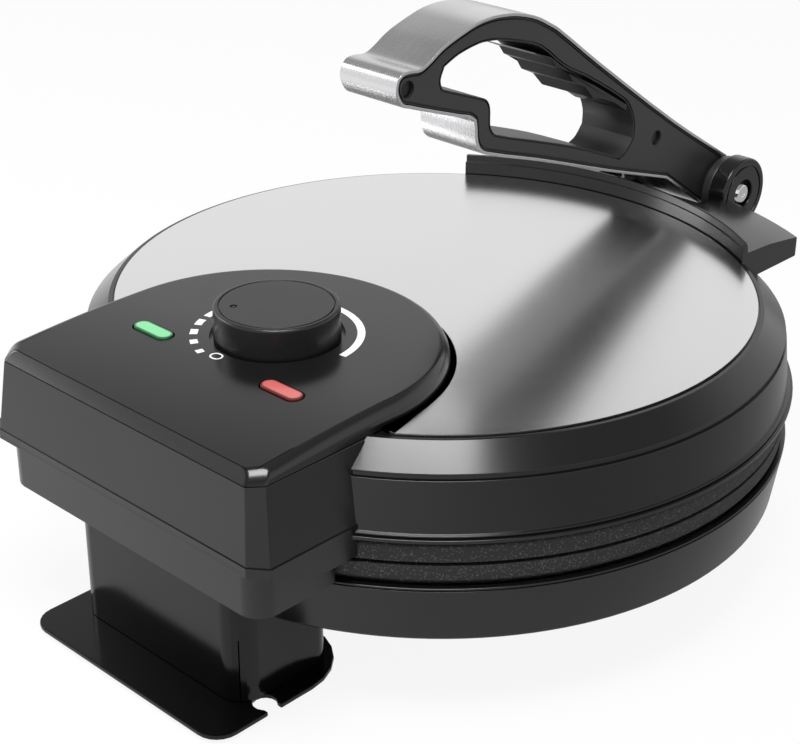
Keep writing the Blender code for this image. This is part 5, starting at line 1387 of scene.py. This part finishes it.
@dataclass
class Studio:
    """The camera, the soft lights, the white surroundings and the floor."""

    place: tuple[float, float, float] = (-0.4136, 0.4512, 0.2671)
    yaw: float = 136.262
    pitch: float = 26.438
    roll: float = -0.283
    lens: float = 80.244
    horizon: float = 0.95
    overhead: float = 0.30
    shade_band: Pair = (0.42, 0.66)
    mirror_light: Pair = (0.40, 1.15)
    mirror_band: Pair = (-0.25, 0.40)
    glow_share: float = 0.90

    def camera(self) -> None:
        """Sets the camera at the photograph's viewing angle."""
        data = bpy.data.cameras.new("camera")
        data.lens, data.clip_start, data.clip_end = self.lens, 0.01, 20.0
        camera = bpy.data.objects.new("camera", data)
        bpy.context.scene.collection.objects.link(camera)
        stand = Vector(self.place) + Vector((0.0, DATUM.plates_y, DATUM.steel_z))
        camera.matrix_world = (Matrix.Translation(stand) @ Matrix.Rotation(-math.radians(self.yaw), 4, "Z")
                               @ Matrix.Rotation(math.pi / 2 - math.radians(self.pitch), 4, "X")
                               @ Matrix.Rotation(-math.radians(self.roll), 4, "Z"))
        bpy.context.scene.camera = camera

    @staticmethod
    def panel_light(name: str, place: Vector, target: Vector, size: Pair, power: float) -> None:
        """Adds a soft panel light that looks at a target."""
        data = bpy.data.lights.new(name, "AREA")
        data.shape, data.size, data.size_y, data.energy = "RECTANGLE", size[0], size[1], power
        light = bpy.data.objects.new(name, data)
        bpy.context.scene.collection.objects.link(light)
        facing = (target - place).to_track_quat("-Z", "Y").to_matrix().to_4x4()
        light.matrix_world = Matrix.Translation(place) @ facing

    def surroundings(self) -> None:
        """Makes the white surroundings, which are darker overhead in light and reflections."""
        world = bpy.data.worlds.new("studio")
        bpy.context.scene.world = world
        world.use_nodes = True
        tree = world.node_tree
        tree.nodes.clear()
        nodes = Nodes(tree)
        direction = nodes.add("TexCoord").outputs["Generated"]
        height = nodes.add("SeparateXYZ", {"Vector": direction}).outputs["Z"]
        shade = nodes.spread(height, self.horizon, self.overhead, *self.shade_band)
        path = nodes.add("LightPath").outputs
        seen = nodes.math("MAXIMUM", path["Is Camera Ray"], path["Is Transmission Ray"])
        value = nodes.math("MAXIMUM", shade, seen)
        grey = nodes.add("CombineColor", {"Red": value, "Green": value, "Blue": value}).outputs[0]
        background = nodes.add("Background", {"Color": grey})
        tree.links.new(background.outputs[0], nodes.add("OutputWorld").inputs["Surface"])

    def floor(self) -> None:
        """Lays the pale floor, which melts into the background but keeps a faint shadow."""
        bm = bmesh.new()
        bmesh.ops.create_grid(bm, x_segments=1, y_segments=1, size=6.0)
        mesh = bpy.data.meshes.new("floor")
        bm.to_mesh(mesh)
        bm.free()
        floor = bpy.data.objects.new("floor", mesh)
        bpy.context.scene.collection.objects.link(floor)
        made = bpy.data.materials.new("floor_white")
        made.use_nodes = True
        tree = made.node_tree
        tree.nodes.clear()
        nodes = Nodes(tree)
        diffuse = nodes.add("BsdfDiffuse", {"Color": (0.8, 0.8, 0.8, 1.0)}).outputs[0]
        parts = nodes.add("SeparateXYZ", {"Vector": nodes.add("TexCoord").outputs["Object"]}).outputs
        across = nodes.math("ADD", parts["X"], parts["Y"])
        mirrored = nodes.spread(across, *self.mirror_light, *self.mirror_band)
        path = nodes.add("LightPath").outputs
        plain = nodes.math("MAXIMUM", path["Is Camera Ray"], path["Is Transmission Ray"])
        strength = nodes.math("ADD", plain, nodes.math("MULTIPLY", path["Is Glossy Ray"], mirrored))
        glow = nodes.add("Emission", {"Color": (1.0, 1.0, 1.0, 1.0), "Strength": strength}).outputs[0]
        seen = nodes.math("MAXIMUM", plain, path["Is Glossy Ray"])
        share = nodes.math("MULTIPLY", seen, self.glow_share)
        mix = nodes.add("MixShader", {0: share, 1: diffuse, 2: glow}).outputs[0]
        tree.links.new(mix, nodes.add("OutputMaterial").inputs["Surface"])
        mesh.materials.append(made)

    def build(self) -> None:
        """Sets the whole studio up."""
        bpy.context.scene.view_settings.view_transform = "Standard"
        self.camera()
        self.surroundings()
        self.floor()
        target = Vector((0.0, 0.0, 0.08))
        self.panel_light("overhead", Vector((-0.22, 0.30, 1.15)), target, (0.50, 0.50), 12.0)
        self.panel_light("side_fill", Vector((1.1, 0.5, 0.7)), target, (0.6, 0.6), 5.0)


def main() -> None:
    """Builds every sub-assembly in order."""
    logging.basicConfig(level=logging.INFO, format="%(name)s: %(message)s")
    Studio().build()
    palette = Palette()
    base = Base()
    base.build(palette)
    Stand().build(palette)
    Lid().build(palette, base)
    ControlPanel().build(palette)
    Knob().build(palette)
    LeverBracket().build(palette)
    Lever().build(palette)
    InnerWorks.build(palette)
    bpy.context.view_layer.update()


if __name__ == "__main__":
    main()
